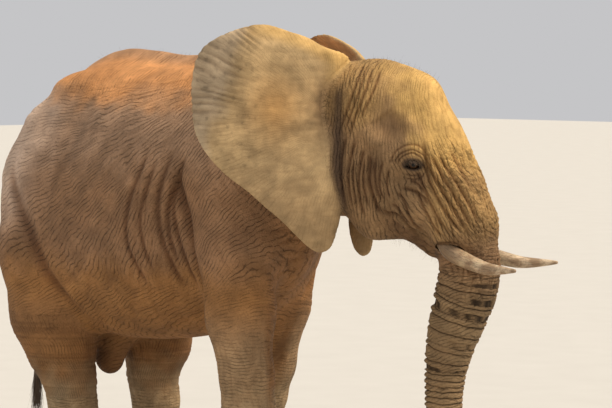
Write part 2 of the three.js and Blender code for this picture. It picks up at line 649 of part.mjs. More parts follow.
// Tail, tuft and sheath.
add('tail', solid(tail).intersect(tuftAbove), skinMaterial());
add('tail_tuft', solid(horn(tuftCurve, tuftRadius, 6, 7)).intersect(tuftBelow), hairMaterial());
add('sheath', cutFlesh(boxOf(-1000, -400, -170, 170, 580, 1000), [78, 68, 78], sheathRoom(GAP / 2)),
  skinMaterial());

// The origin is on the floor under the middle of the whole animal.
const extent = new THREE.Box3().setFromObject(model);
const middle = extent.getCenter(new THREE.Vector3());
model.position.set(-middle.x, -middle.y, -extent.min.z);

export default model;
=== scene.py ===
"""African elephant: the looks of a young bull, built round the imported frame.

One skin stands for every node of flesh and both ears. It is sculpted in millimetres in the
animal's own frame, with +X to the head, +Y to its left and the withers over the origin: cones, eggs
and sheets make a smooth distance field, a net of cells finds its surface, and folds, rings and lids
are pressed into that surface. Eyeballs, tusks, toenails and hairs are pieces of their own. Each mesh
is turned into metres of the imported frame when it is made.
"""
import math
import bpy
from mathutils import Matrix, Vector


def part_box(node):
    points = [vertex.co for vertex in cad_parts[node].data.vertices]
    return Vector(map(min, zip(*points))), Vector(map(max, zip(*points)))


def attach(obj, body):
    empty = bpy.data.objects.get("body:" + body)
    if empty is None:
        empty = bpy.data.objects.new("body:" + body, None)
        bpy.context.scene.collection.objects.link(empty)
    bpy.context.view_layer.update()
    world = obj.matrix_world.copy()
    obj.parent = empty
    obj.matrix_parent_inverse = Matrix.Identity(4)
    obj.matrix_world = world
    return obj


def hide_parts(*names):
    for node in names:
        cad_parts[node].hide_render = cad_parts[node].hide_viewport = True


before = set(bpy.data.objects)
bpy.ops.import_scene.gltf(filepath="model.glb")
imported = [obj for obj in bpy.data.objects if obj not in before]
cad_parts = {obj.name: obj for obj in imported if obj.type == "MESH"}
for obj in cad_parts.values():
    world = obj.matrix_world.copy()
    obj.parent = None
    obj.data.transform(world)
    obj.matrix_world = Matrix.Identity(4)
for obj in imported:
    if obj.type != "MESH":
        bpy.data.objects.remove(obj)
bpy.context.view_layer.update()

from concurrent.futures import ThreadPoolExecutor

import bpy
import numpy as np
from mathutils import Vector

CHANCE = np.random.default_rng(11)

# ---------- Driving dimensions, in millimetres ----------
MM = 0.001
HEAD_AT = np.array([1148.0, 100.0, 1845.0])  # midway between the ears, at eye level
HEAD_TURN = math.radians(24)
LEG_SPREAD = 300
WITHERS = (450, 2330)
FAN = 600  # size of the fan of creases on the flank, which opens from the withers
EYE = {"x": 339, "z": 24, "radius": 31}
LIDS = {"width": 43, "rise": 40, "sag": 9, "corner": 15, "arch": 0.65, "middle": 36.5, "half": 4.7}
TUSK = {"root": 42, "tip": 9}
SOLE = {"fore": 180, "hind": 165}
COVER = 0.8  # clear space between the skin and what sits in it
SIDES = (("right", -1), ("left", 1))
MARGIN = 150  # no blend reaches further than this from a shape
FAR = 260.0  # stands for every distance beyond the margin


# ---------- Small maths ----------
def ramp(x, start, end):
    """0 before start, 1 after end, smooth between."""
    t = np.clip((x - start) / (end - start), 0, 1)
    return t * t * (3 - 2 * t)


def within(x, start, full, fading, end):
    """1 from full to fading, 0 before start and after end, smooth between."""
    return ramp(x, start, full) * (1 - ramp(x, fading, end))


def bell(x, width):
    return np.exp(-((x / width) ** 2))


def turned(points, angle):
    """Points turned about Z."""
    c, s = math.cos(angle), math.sin(angle)
    x, y, z = points.T
    return np.stack([c * x - s * y, s * x + c * y, z], 1)


def tilted(points, angle):
    """Points with their front turned up about Y."""
    c, s = math.cos(angle), math.sin(angle)
    x, y, z = points.T
    return np.stack([c * x + s * z, y, c * z - s * x], 1)


def to_head(points):
    return turned(points - HEAD_AT, -HEAD_TURN)


def from_head(points):
    return turned(np.atleast_2d(np.asarray(points, float)), HEAD_TURN) + HEAD_AT


def smooth_line(points, steps=8, closed=False):
    """Points along the Catmull-Rom curve through the given rows, which may hold a radius too."""
    rows = np.array(points, float)
    if closed:
        padded = np.vstack([rows[-1:], rows, rows[:2]])
    else:
        padded = np.vstack([2 * rows[0] - rows[1], rows, 2 * rows[-1] - rows[-2]])
    t = (np.arange(steps) / steps)[:, None]
    line = []
    for a, b, c, d in zip(padded, padded[1:], padded[2:], padded[3:]):
        bend = 2 * a - 5 * b + 4 * c - d + t * (3 * (b - c) + d - a)
        line.append(b + 0.5 * t * (c - a + t * bend))
    return np.vstack(line if closed else line + [rows[-1:]])


def noise(points, seed=0):
    """Smooth gradient noise of about -1 to 1 with lattice points 1 apart."""
    table = np.random.default_rng(seed).permutation(256)
    slopes = np.random.default_rng(seed + 1).normal(size=(256, 3))
    slopes *= 1.6 / np.linalg.norm(slopes, axis=1)[:, None]
    cell = np.floor(points).astype(np.int64)
    inside = points - cell
    fade = inside ** 3 * (inside * (inside * 6 - 15) + 10)
    total = np.zeros(len(points))
    for corner in np.ndindex(2, 2, 2):
        i, j, k = ((cell + corner) & 255).T
        slope = slopes[table[(table[(table[i] + j) & 255] + k) & 255]]
        weight = np.prod(np.where(corner, fade, 1 - fade), axis=1)
        total += weight * np.einsum("ij,ij->i", slope, inside - corner)
    return total


def creases(across, along, extra, seed, width=0.16):
    """Valleys, 0 to 1 deep: lines that run with `along`, about one for each unit of `across`."""
    spot = np.stack([across, along, extra], 1)
    bend = 0.35 * noise(spot * (0.45, 0.8, 1), seed + 40)
    spot[:, 0] += bend
    return np.exp(-((noise(spot, seed) / width) ** 2))


def in_parts(work, points, part=30000):
    """work(points), done part by part on several threads."""
    parts = np.array_split(points, len(points) // part + 1)
    with ThreadPoolExecutor(4) as pool:
        return np.concatenate(list(pool.map(work, parts)))


# ---------- Distance fields: (n, 3) points => distances, negative inside ----------
def near(field, low, high):
    """The field inside its box and margin, and FAR elsewhere."""
    low, high = np.asarray(low) - MARGIN, np.asarray(high) + MARGIN

    def boxed(p):
        inside = ((p > low) & (p < high)).all(1)
        d = np.full(len(p), FAR)
        if inside.any():
            d[inside] = field(p[inside])
        return d
    return boxed


def cone(start, end):
    """A cone between two balls, each (x, y, z, radius)."""
    a, b = np.array(start[:3], float), np.array(end[:3], float)
    ra, rb = start[3], end[3]
    axis = b - a
    length2 = axis @ axis
    taper = ra - rb
    slant2 = length2 - taper * taper

    def field(p):
        pa = p - a
        along = pa @ axis
        off2 = np.maximum(np.einsum("ij,ij->i", pa, pa) * length2 - along * along, 0) * length2
        past = along - length2
        along2 = along * along * length2
        past2 = past * past * length2
        k = math.copysign(1, taper) * taper * taper * off2
        d = (np.sqrt(off2 * slant2 / length2) + along * taper) / length2 - ra
        d = np.where(np.sign(along) * slant2 * along2 < k, np.sqrt(off2 + along2) / length2 - ra, d)
        return np.where(np.sign(past) * slant2 * past2 > k, np.sqrt(off2 + past2) / length2 - rb, d)
    return near(field, np.minimum(a - ra, b - rb), np.maximum(a + ra, b + rb))


def egg(middle, radii, pitch=0):
    """An ellipsoid whose front is turned up by the pitch, in degrees."""
    radii = np.array(radii, float)

    def field(p):
        local = tilted(p - middle, math.radians(pitch))
        k0 = np.linalg.norm(local / radii, axis=1)
        k1 = np.linalg.norm(local / radii ** 2, axis=1)
        return k0 * (k0 - 1) / np.maximum(k1, 1e-9)
    return field


def join(radius, *fields):
    def field(p):
        a = fields[0](p)
        for other in fields[1:]:
            a = soft_min(a, other(p), radius)
        return a
    return field


def soft_min(a, b, radius):
    h = np.maximum(radius - np.abs(a - b), 0) / radius
    return np.minimum(a, b) - h * h * radius / 4


def carve(radius, body, tool):
    return lambda p: -soft_min(-body(p), tool(p), radius)


def limb(softness, *stations):
    """Cones from station to station, each (x, y, z, radius)."""
    return join(softness, *[cone(a, b) for a, b in zip(stations, stations[1:])])


def both_sides(field):
    return lambda p: field(np.stack([p[:, 0], np.abs(p[:, 1]), p[:, 2]], 1))


def slim(share, field):
    """The field squeezed sideways about the middle plane."""
    return lambda p: field(p / (1, share, 1)) * min(1, share)


def in_head(field):
    return lambda p: field(to_head(p))


def evened(field, step=6):
    """Divides a field by its own slope where that is steep."""
    def even(p):
        d = field(p)
        slope = np.sqrt(sum((field(p + step * axis) - d) ** 2 for axis in np.eye(3))) / step
        return d / np.maximum(1, slope)
    return even


# ---------- The body ----------
# Each row: x, top line, bottom line, half width.
BARREL = np.array([
    (-1200, 1800, 1560, 60), (-1150, 1990, 1330, 275), (-1040, 2180, 1160, 405), (-860, 2330, 990, 490),
    (-600, 2400, 885, 548), (-350, 2395, 875, 585), (-80, 2375, 900, 600), (180, 2390, 938, 560),
    (400, 2425, 985, 455), (600, 2450, 1150, 350), (740, 2440, 1340, 275), (830, 2390, 1540, 205),
    (880, 2260, 1750, 80),
], float)


def barrel_lines(x):
    """Top line, bottom line and half width of the barrel, as smooth curves of x."""
    at, value = BARREL[:, 0], BARREL[:, 1:]
    last = len(at) - 1
    before, after = np.maximum(np.arange(len(at)) - 1, 0), np.minimum(np.arange(len(at)) + 1, last)
    slope = (value[after] - value[before]) / (at[after] - at[before])[:, None]
    i = np.clip(np.searchsorted(at, x) - 1, 0, last - 1)
    span = (at[i + 1] - at[i])[:, None]
    t = (x - at[i])[:, None] / span
    return ((2 * t ** 3 - 3 * t * t + 1) * value[i] + (t ** 3 - 2 * t * t + t) * span * slope[i]
            + (3 * t * t - 2 * t ** 3) * value[i + 1] + (t ** 3 - t * t) * span * slope[i + 1]).T


def barrel(p):
    x, y, z = p.T
    at = np.clip(x, BARREL[0, 0], BARREL[-1, 0])
    top, bottom, half = barrel_lines(at)
    widest = bottom + 0.47 * (top - bottom)
    rise = np.where(z > widest, top - widest, widest - bottom)
    power = np.where(z > widest, 1.9, 2.25)
    share = ((np.abs(y) / half) ** power + (np.abs(z - widest) / rise) ** power) ** (1 / power)
    share = np.maximum(share, 1e-6)
    across = np.hypot(y, z - widest) * (1 - 1 / share)
    return np.where(x == at, across, np.hypot(np.maximum(across, 0), x - at))


def foreleg(side, blade, arm, elbow, forearm, wrist, shank, fetlock, foot):
    y = side * LEG_SPREAD
    return [(blade, side * 205, 1880, 215), (arm, side * 272, 1420, 194),
            (elbow, side * 298, 1090, 174), (forearm, side * 302, 760, 128), (wrist, y, 590, 128),
            (shank, y, 390, 127), (fetlock, y, 220, 138), (foot - 4, y, 95, 165),
            (foot, y, 40, SOLE["fore"] + 4)]


def hindleg(side, hip, thigh, knee, shin, hock):
    y = side * LEG_SPREAD
    return [(hip, side * 235, 1680, 305), (thigh, side * 285, 1330, 275), (knee, side * 305, 1000, 226),
            (shin, side * 302, 810, 176), (hock, y, 640, 133), (hock + 28, y, 490, 121),
            (hock + 34, y, 320, 117), (hock + 44, y, 185, 131), (hock + 62, y, 85, 152),
            (hock + 66, y, 40, SOLE["hind"] + 4)]


LEGS = {
    "fore_right": foreleg(-1, 500, 590, 645, 708, 718, 722, 730, 746),
    "fore_left": foreleg(1, 460, 332, 270, 212, 148, 84, 44, 28),
    "hind_right": hindleg(-1, -885, -905, -855, -792, -722),
    "hind_left": hindleg(1, -885, -865, -750, -705, -745),
}
legs = [limb(60, *stations) for stations in LEGS.values()]
hip_bones = both_sides(egg((-735, 258, 2196), (122, 76, 80), 12))
haunch = both_sides(cone((-893, 250, 1960, 186), (-965, 285, 1767, 186)))

# ---------- Head and trunk, in the head's frame: origin between the ears at eye level ----------
skull = join(
    70, egg((88, 0, 228), (262, 228, 298)), egg((250, 0, 340), (150, 172, 133)),
    cone((278, 0, 204, 186), (530, 0, -285, 160)), cone((350, 0, 110, 164), (470, 0, -120, 160)))
face = both_sides(join(
    55, cone((30, 128, 325, 122), (215, 160, 40, 116)),  # temple muscle down to the cheek bone
    egg((330, 168, 78), (112, 66, 58), -35),  # brow
    cone((150, 150, -40, 126), (318, 118, -185, 118)),  # cheek
    cone((420, 112, -90, 112), (500, 138, -335, 82)),  # tusk sheath
    cone((95, 112, -190, 118), (30, 110, -20, 150))))  # angle of the jaw
jaw = both_sides(join(
    40, cone((100, 72, -255, 116), (300, 34, -308, 52)), cone((290, 26, -335, 52), (366, 0, -412, 40))))
temple = both_sides(egg((228, 300, 232), (100, 78, 88), -30))
head_field = join(45, carve(70, join(80, skull, face), temple), jaw)

TRUNK = [
    (530, 0, -285, 160), (564, 0, -480, 140), (556, 0, -565, 138), (541, 0, -630, 137),
    (518, 0, -695, 133), (494, 0, -768, 125), (470, 0, -844, 115), (450, 0, -919, 104),
    (435, 0, -1000, 95), (427, 0, -1095, 87), (423, 0, -1200, 83), (420, 0, -1340, 76),
    (434, 0, -1480, 68), (474, 0, -1595, 61), (546, 0, -1680, 55), (636, 0, -1716, 50),
]
fingers = join(14, cone((624, 0, -1697, 30), (678, 0, -1694, 15)),
               cone((624, 0, -1736, 28), (664, 0, -1746, 14)))
nostrils = both_sides(cone((644, 20, -1718, 13), (704, 20, -1722, 15)))
trunk = slim(1.06, carve(8, join(16, limb(50, *TRUNK), fingers), nostrils))
head_and_trunk = in_head(join(60, head_field, trunk))

neck_cone = slim(0.66, cone((-330, 0, 140, 425), (-70, 0, 105, 352)))
sheath = slim(0.86, limb(40, (-600, 0, 965, 112), (-700, 0, 865, 104), (-748, 0, 738, 88)))


def neck(p):
    return neck_cone(turned(p - HEAD_AT, -0.6 * HEAD_TURN))


body = join(130, evened(barrel), neck, *legs, head_and_trunk)
flesh = join(60, join(90, body, hip_bones), haunch, sheath)

# ---------- Tail ----------
TAIL = [(-1080, 0, 2030), (-1185, -4, 1905), (-1238, -26, 1680), (-1238, -68, 1350),
        (-1232, -100, 1050), (-1225, -122, 800), (-1222, -132, 660)]
tail_line = smooth_line(TAIL, 3)
tail_share = np.linspace(0, 1, len(tail_line))
tail_stations = [(*p, 20 + 66 * (1 - t) ** 3) for p, t in zip(tail_line, tail_share)]
tail = limb(12, *tail_stations)
tail_root = limb(12, *tail_stations[:5])

# ---------- Ears: sheets over an outline, each in its own plane ----------
EAR_OUTLINE = [
    (-14, 540), (100, 590), (245, 655), (419, 706), (565, 680), (684, 624), (750, 550), (778, 435),
    (782, 310), (768, 184), (722, 80), (633, -24), (519, -113), (345, -263), (261, -346), (186, -412),
    (134, -430), (86, -404), (56, -339), (34, -250), (22, -110), (14, 60), (8, 230), (-10, 400),
]
EAR_POSE = {"right": {"spread": 33, "drop": 0, "drape": 0, "tuck": 55, "curl": 70},
            "left": {"spread": 29, "drop": 48, "drape": 0.36, "tuck": 0, "curl": 40}}


def ear_bulge(u, v, drape, tuck, curl):
    """How far the ear's middle lies outwards of its plane, u back from the root and v up."""
    hollow_at_root = -55 * bell(u - 115, 80) * bell(v - 330, 170)
    bent_rim = -80 * ramp(u + 0.35 * v, 640, 980) - 60 * ramp(v - 0.12 * u, 540, 700)
    ripple = 14 * np.sin(u / 115 + v / 210) * ramp(u, 150, 450)
    lobe_in = -tuck * ramp(-v, 60, 440) * ramp(320 - u, 0, 300)
    root_in = -34 * (1 - ramp(u, -20, 90)) - curl * ramp(v, 260, 540) * (1 - ramp(u, 0, 300))
    over_shoulder = drape * np.maximum(0, u - 80) * (1 - ramp(v, 420, 760)) * ramp(v, -420, -160)
    return hollow_at_root + bent_rim + ripple + lobe_in + root_in + over_shoulder


def outline_distance(u, v, outline):
    """Distance to a closed outline, negative inside."""
    best = np.full(u.shape, 1e9)
    inside = np.zeros(u.shape, bool)
    for (au, av), (bu, bv) in zip(outline, np.roll(outline, -1, axis=0)):
        du, dv = bu - au, bv - av
        t = np.clip(((u - au) * du + (v - av) * dv) / (du * du + dv * dv), 0, 1)
        best = np.minimum(best, np.hypot(u - au - t * du, v - av - t * dv))
        crosses = (av > v) != (bv > v)
        inside ^= crosses & (u < au + (v - av) / (dv if dv else 1e-9) * du)
    return np.where(inside, -best, best)


class Ear:
    """A bent sheet, as maps of its edge distance, bulge, evenness and half thickness over (u, v)."""
    STEP, LOW, HIGH = 6.0, np.array([-80.0, -500.0]), np.array([850.0, 780.0])

    def __init__(self, side, spread, drop, **bends):
        self.side, self.spread = side, math.radians(spread)
        self.root = np.array([0, side * 212.0, -drop])
        spans = [np.arange(a, b, self.STEP) for a, b in zip(self.LOW, self.HIGH)]
        u, v = np.meshgrid(*spans, indexing="ij")
        edge = outline_distance(u, v, smooth_line(EAR_OUTLINE, 6, closed=True))
        bulge = ear_bulge(u, v, **bends)
        slope = np.hypot(*np.gradient(bulge, self.STEP))
        rim = np.clip(1 + edge / 300, 0, 1)
        roll = 46 * bell(u - 60, 180) * ramp(v - 0.45 * u, 340, 520) * (1 - 0.6 * rim ** 4)
        half = 0.5 * (13 + 20 * (1 - rim ** 3) + roll)
        self.maps = np.stack([edge, bulge, 1 / np.sqrt(1 + slope ** 2), half], -1)

    def local(self, p):
        """u, v and w, the distance outwards of the ear's plane."""
        x, y, z = turned(to_head(p) - self.root, self.side * self.spread).T
        return -x, z, self.side * y

    def read(self, u, v):
        """The four maps at (u, v), by linear steps."""
        spot = (np.stack([u, v], 1) - self.LOW) / self.STEP
        spot = np.clip(spot, 0, np.array(self.maps.shape[:2]) - 1.001)
        i, j = np.floor(spot).astype(int).T
        s, t = (spot - np.floor(spot)).T
        s, t = s[:, None], t[:, None]
        m = self.maps
        return ((m[i, j] * (1 - s) + m[i + 1, j] * s) * (1 - t)
                + (m[i, j + 1] * (1 - s) + m[i + 1, j + 1] * s) * t).T

    def distance(self, p):
        u, v, w = self.local(p)
        edge, bulge, even, half = self.read(u, v)
        return np.hypot(np.maximum(edge + half, 0), (w - bulge) * even) - half

    def joined(self, p, others):
        """The sheet added to other distances, with a soft root and free everywhere else."""
        u, v, w = self.local(p)
        close = (u > -120) & (u < 900) & (v > -560) & (v < 830) & (np.abs(w + 40) < 460)
        d = others.copy()
        if close.any():
            radius = 3 + 47 * (1 - ramp(u[close], 20, 150))
            d[close] = soft_min(others[close], self.distance(p[close]), radius)
        return d


ears = {name: Ear(side, **EAR_POSE[name]) for name, side in SIDES}

# ---------- What sits in the skin ----------
TUSK_LINE = [(400, 116, -230), (455, 136, -325), (515, 165, -408), (596, 192, -446), (675, 222, -470),
             (760, 258, -486), (905, 318, -486)]


def tusk_shape(steps):
    """The tusk's middle line and its radius at each point."""
    line = smooth_line(TUSK_LINE, steps)
    lengths = np.concatenate([[0], np.cumsum(np.linalg.norm(np.diff(line, axis=0), axis=1))])
    share = lengths / lengths[-1]
    return line, TUSK["tip"] + (TUSK["root"] - TUSK["tip"]) * (1 - share ** 3.2)


tusk_line, tusk_radius = tusk_shape(6)
tusk_room = both_sides(limb(8, *[(*p, r + COVER) for p, r in zip(tusk_line[::3], tusk_radius[::3])]))
NAILS = {"fore_right": (-62, -24, 12, 46), "fore_left": (-46, -12, 24, 62),
         "hind_right": (-48, -8, 30), "hind_left": (-30, 8, 48)}
NAIL_SIZE = np.array([17.0, 42.0, 46.0])
NAIL_TILT = -0.2


def nail_spots():
    """Name, middle and heading of every nail."""
    for leg, angles in NAILS.items():
        foot = LEGS[leg][-1]
        reach = SOLE[leg[:4]] - 6
        for number, degrees in enumerate(angles, 1):
            heading = math.radians(degrees)
            place = (foot[0] + reach * math.cos(heading), foot[1] + reach * math.sin(heading), 58)
            yield f"nail_{leg}_{number}", np.array(place), heading


def nail_room(p):
    d = np.full(len(p), FAR)
    low = p[:, 2] < 200
    for _, middle, heading in nail_spots():
        local = tilted(turned(p[low] - middle, -heading), -NAIL_TILT)
        share = np.linalg.norm(local / NAIL_SIZE, axis=1)
        d[low] = np.minimum(d[low], (share - 1) * NAIL_SIZE[0] - COVER)
    return d


# ---------- Eyes: a ball, with lids that hug it ----------
eye_boxes = {name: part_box(f"eye_{name}") for name, _ in SIDES}
eye_middles = {name: np.array((low + high) / 2) / MM for name, (low, high) in eye_boxes.items()}
# The frame's origin is under the middle of the whole animal, the sculpt's under its withers.
SHIFT = (eye_middles["right"] + eye_middles["left"]) / 2 - from_head((EYE["x"], 0, EYE["z"]))[0]
EYE_Y = float(np.abs(to_head((eye_middles["left"] - SHIFT)[None])[0, 1]))
SOLE_AT = -SHIFT[2]  # the floor, in the sculpt's frame


def slope_of(field, points, step=1.5):
    """Distances and unit outward normals, from four samples round each point."""
    corners = np.array([(1, -1, -1), (-1, -1, 1), (-1, 1, -1), (1, 1, 1)], float)
    values = [in_parts(field, points + step * corner) for corner in corners]
    normal = sum(value[:, None] * corner for value, corner in zip(values, corners))
    normal /= np.maximum(np.linalg.norm(normal, axis=1), 1e-9)[:, None]
    return sum(values) / 4, normal


eye_out = slope_of(head_field, np.array([[EYE["x"], EYE_Y + 25.0, EYE["z"]]]), 12)[1][0]
gaze_line = np.array([1.0, 0, -0.1])
eye_ahead = gaze_line - eye_out * (gaze_line @ eye_out)
eye_ahead /= np.linalg.norm(eye_ahead)
eye_up = np.cross(eye_ahead, eye_out)
eye_up *= math.copysign(1, eye_up[2])


def eye_axes(q):
    """Ahead, up and out from the ball's middle, for points of the head's frame on either side."""
    r = np.stack([q[:, 0], np.abs(q[:, 1]), q[:, 2]], 1) - (EYE["x"], EYE_Y, EYE["z"])
    return r @ eye_ahead, r @ eye_up, r @ eye_out


def lid_opening(ahead, up):
    """Signed distance, roughly, to the arched slit between the lids."""
    share = np.clip(1 - (ahead / LIDS["width"]) ** 2, 0, 1)
    upper = LIDS["rise"] * share ** LIDS["arch"] - LIDS["corner"]
    lower = -LIDS["sag"] * share - LIDS["corner"]
    return np.maximum(np.maximum(up - upper, lower - up), np.abs(ahead) - LIDS["width"]) * 0.8


def with_eyes(p, d):
    """Lids round each ball, and room for the ball."""
    q = to_head(p)
    ahead, up, out = eye_axes(q)
    close = (ahead ** 2 + up ** 2 + out ** 2) < 130 ** 2
    if close.any():
        ahead, up, out = ahead[close], up[close], out[close]
        ball = np.sqrt(ahead ** 2 + up ** 2 + out ** 2)
        shell = np.maximum(np.abs(ball - LIDS["middle"]) - LIDS["half"], -out - 6)
        opening = np.maximum(lid_opening(ahead, up), -out)
        made = soft_min(d[close], shell, 14)
        made = -soft_min(-made, opening, 5)
        d[close] = np.maximum(made, EYE["radius"] + COVER - ball)
    return d


def skin_field(p):
    d = soft_min(flesh(p), tail_root(p), 60)
    d = np.minimum(d, tail(p))
    for ear in ears.values():
        d = ear.joined(p, d)
    d = with_eyes(p, d)
    d = -soft_min(-d, tusk_room(to_head(p)), 9)
    d = -soft_min(-d, nail_room(p), 5)
    return np.maximum(d, SOLE_AT - p[:, 2])


# ---------- The net of cells that finds the surface ----------
def grid_line(low, high, step, *fine):
    """Planes from low to high, a step apart, or closer inside (from, to, step) stretches."""
    lines = [low]
    while lines[-1] < high or (len(lines) - 1) % 8:
        lines.append(lines[-1] + min([step] + [s for a, b, s in fine if a <= lines[-1] < b]))
    return np.array(lines, float)


def cells_near(field, lines, block=8):
    """Cells near the surface: blocks of cells are tested at their middles and halved."""
    size = np.array([len(line) - 1 for line in lines])
    starts = np.meshgrid(*[np.arange(0, n, block) for n in size], indexing="ij")
    starts = np.stack(starts, -1).reshape(-1, 3)
    corners = np.array(list(np.ndindex(2, 2, 2)))
    while block > 1:
        low, high = corner_places(lines, starts), corner_places(lines, starts + block)
        reach = np.linalg.norm(high - low, axis=1) / 2
        middle = (low + high) / 2
        x = middle[:, 0]
        # The barrel's blunt ends make distances too long there.
        slack = 1.25 + 1.6 * ((x < -1060) | ((x > 780) & (x < 960)))
        starts = starts[np.abs(in_parts(field, middle)) < slack * reach + 6]
        block //= 2
        starts = (starts[:, None] + block * corners).reshape(-1, 3)
    return starts


def corner_places(lines, index):
    return np.stack([line[index[:, axis]] for axis, line in enumerate(lines)], 1)


def net(field, lines):
    """Points and four-sided faces of the field's surface on the grid of lines."""
    size = np.array([len(line) for line in lines])
    step = np.array([1, size[0], size[0] * size[1]])
    cells = cells_near(field, lines)
    corners = np.array(list(np.ndindex(2, 2, 2)))[:, ::-1]
    keys = (cells @ step)[:, None] + corners @ step
    places, where = np.unique(keys, return_inverse=True)
    where = where.reshape(keys.shape)
    index = np.stack([places % size[0], places // size[0] % size[1], places // step[2]], 1)
    value = in_parts(field, corner_places(lines, index))
    inside = value < 0
    mixed = inside[where].any(1) & ~inside[where].all(1)
    cells, where = cells[mixed], where[mixed]
    total, count = np.zeros((len(cells), 3)), np.zeros(len(cells))
    for a in range(8):
        for b in (a | 1, a | 2, a | 4):
            if b == a:
                continue
            va, vb = value[where[:, a]], value[where[:, b]]
            crossed = (va < 0) != (vb < 0)
            t = np.where(crossed, va / np.where(crossed, va - vb, 1), 0)[:, None]
            total += crossed[:, None] * (corners[a] * (1 - t) + corners[b] * t)
            count += crossed
    low, high = corner_places(lines, cells), corner_places(lines, cells + 1)
    points = low + total / count[:, None] * (high - low)
    order = np.argsort(cells @ step)
    cell_keys = (cells @ step)[order]
    faces = []
    for axis in range(3):
        ahead = np.searchsorted(places, places + step[axis])
        ahead = np.minimum(ahead, len(places) - 1)
        crossing = (places[ahead] == places + step[axis]) & (inside != inside[ahead])
        key = places[crossing]
        b, c = step[(axis + 1) % 3], step[(axis + 2) % 3]
        around = np.stack([key - b - c, key - c, key, key - b], 1)
        spot = np.minimum(np.searchsorted(cell_keys, around), len(cell_keys) - 1)
        whole = (cell_keys[spot] == around).all(1)
        quad = order[spot]
        quad[~inside[crossing]] = quad[~inside[crossing]][:, ::-1]
        faces.append(quad[whole])
    return points, np.vstack(faces)


# ---------- Where each point of the skin is ----------
def along_limb(stations, p):
    """How far along the limb each point is, its distance in limb radii, and the place abreast."""
    rows = np.array(stations, float)
    gap = np.full(len(p), 1e9)
    along, share, abreast = np.zeros(len(p)), np.full(len(p), 9.0), np.zeros_like(p)
    begun = 0.0
    for a, b in zip(rows, rows[1:]):
        axis = b[:3] - a[:3]
        length = np.linalg.norm(axis)
        t = np.clip((p - a[:3]) @ axis / length ** 2, 0, 1)
        foot = a[:3] + t[:, None] * axis
        radius = a[3] + t * (b[3] - a[3])
        away = np.linalg.norm(p - foot, axis=1)
        better = away - radius < gap
        gap = np.where(better, away - radius, gap)
        along = np.where(better, begun + t * length, along)
        share = np.where(better, away / radius, share)
        abreast[better] = foot[better]
        begun += length
    return along, share, abreast


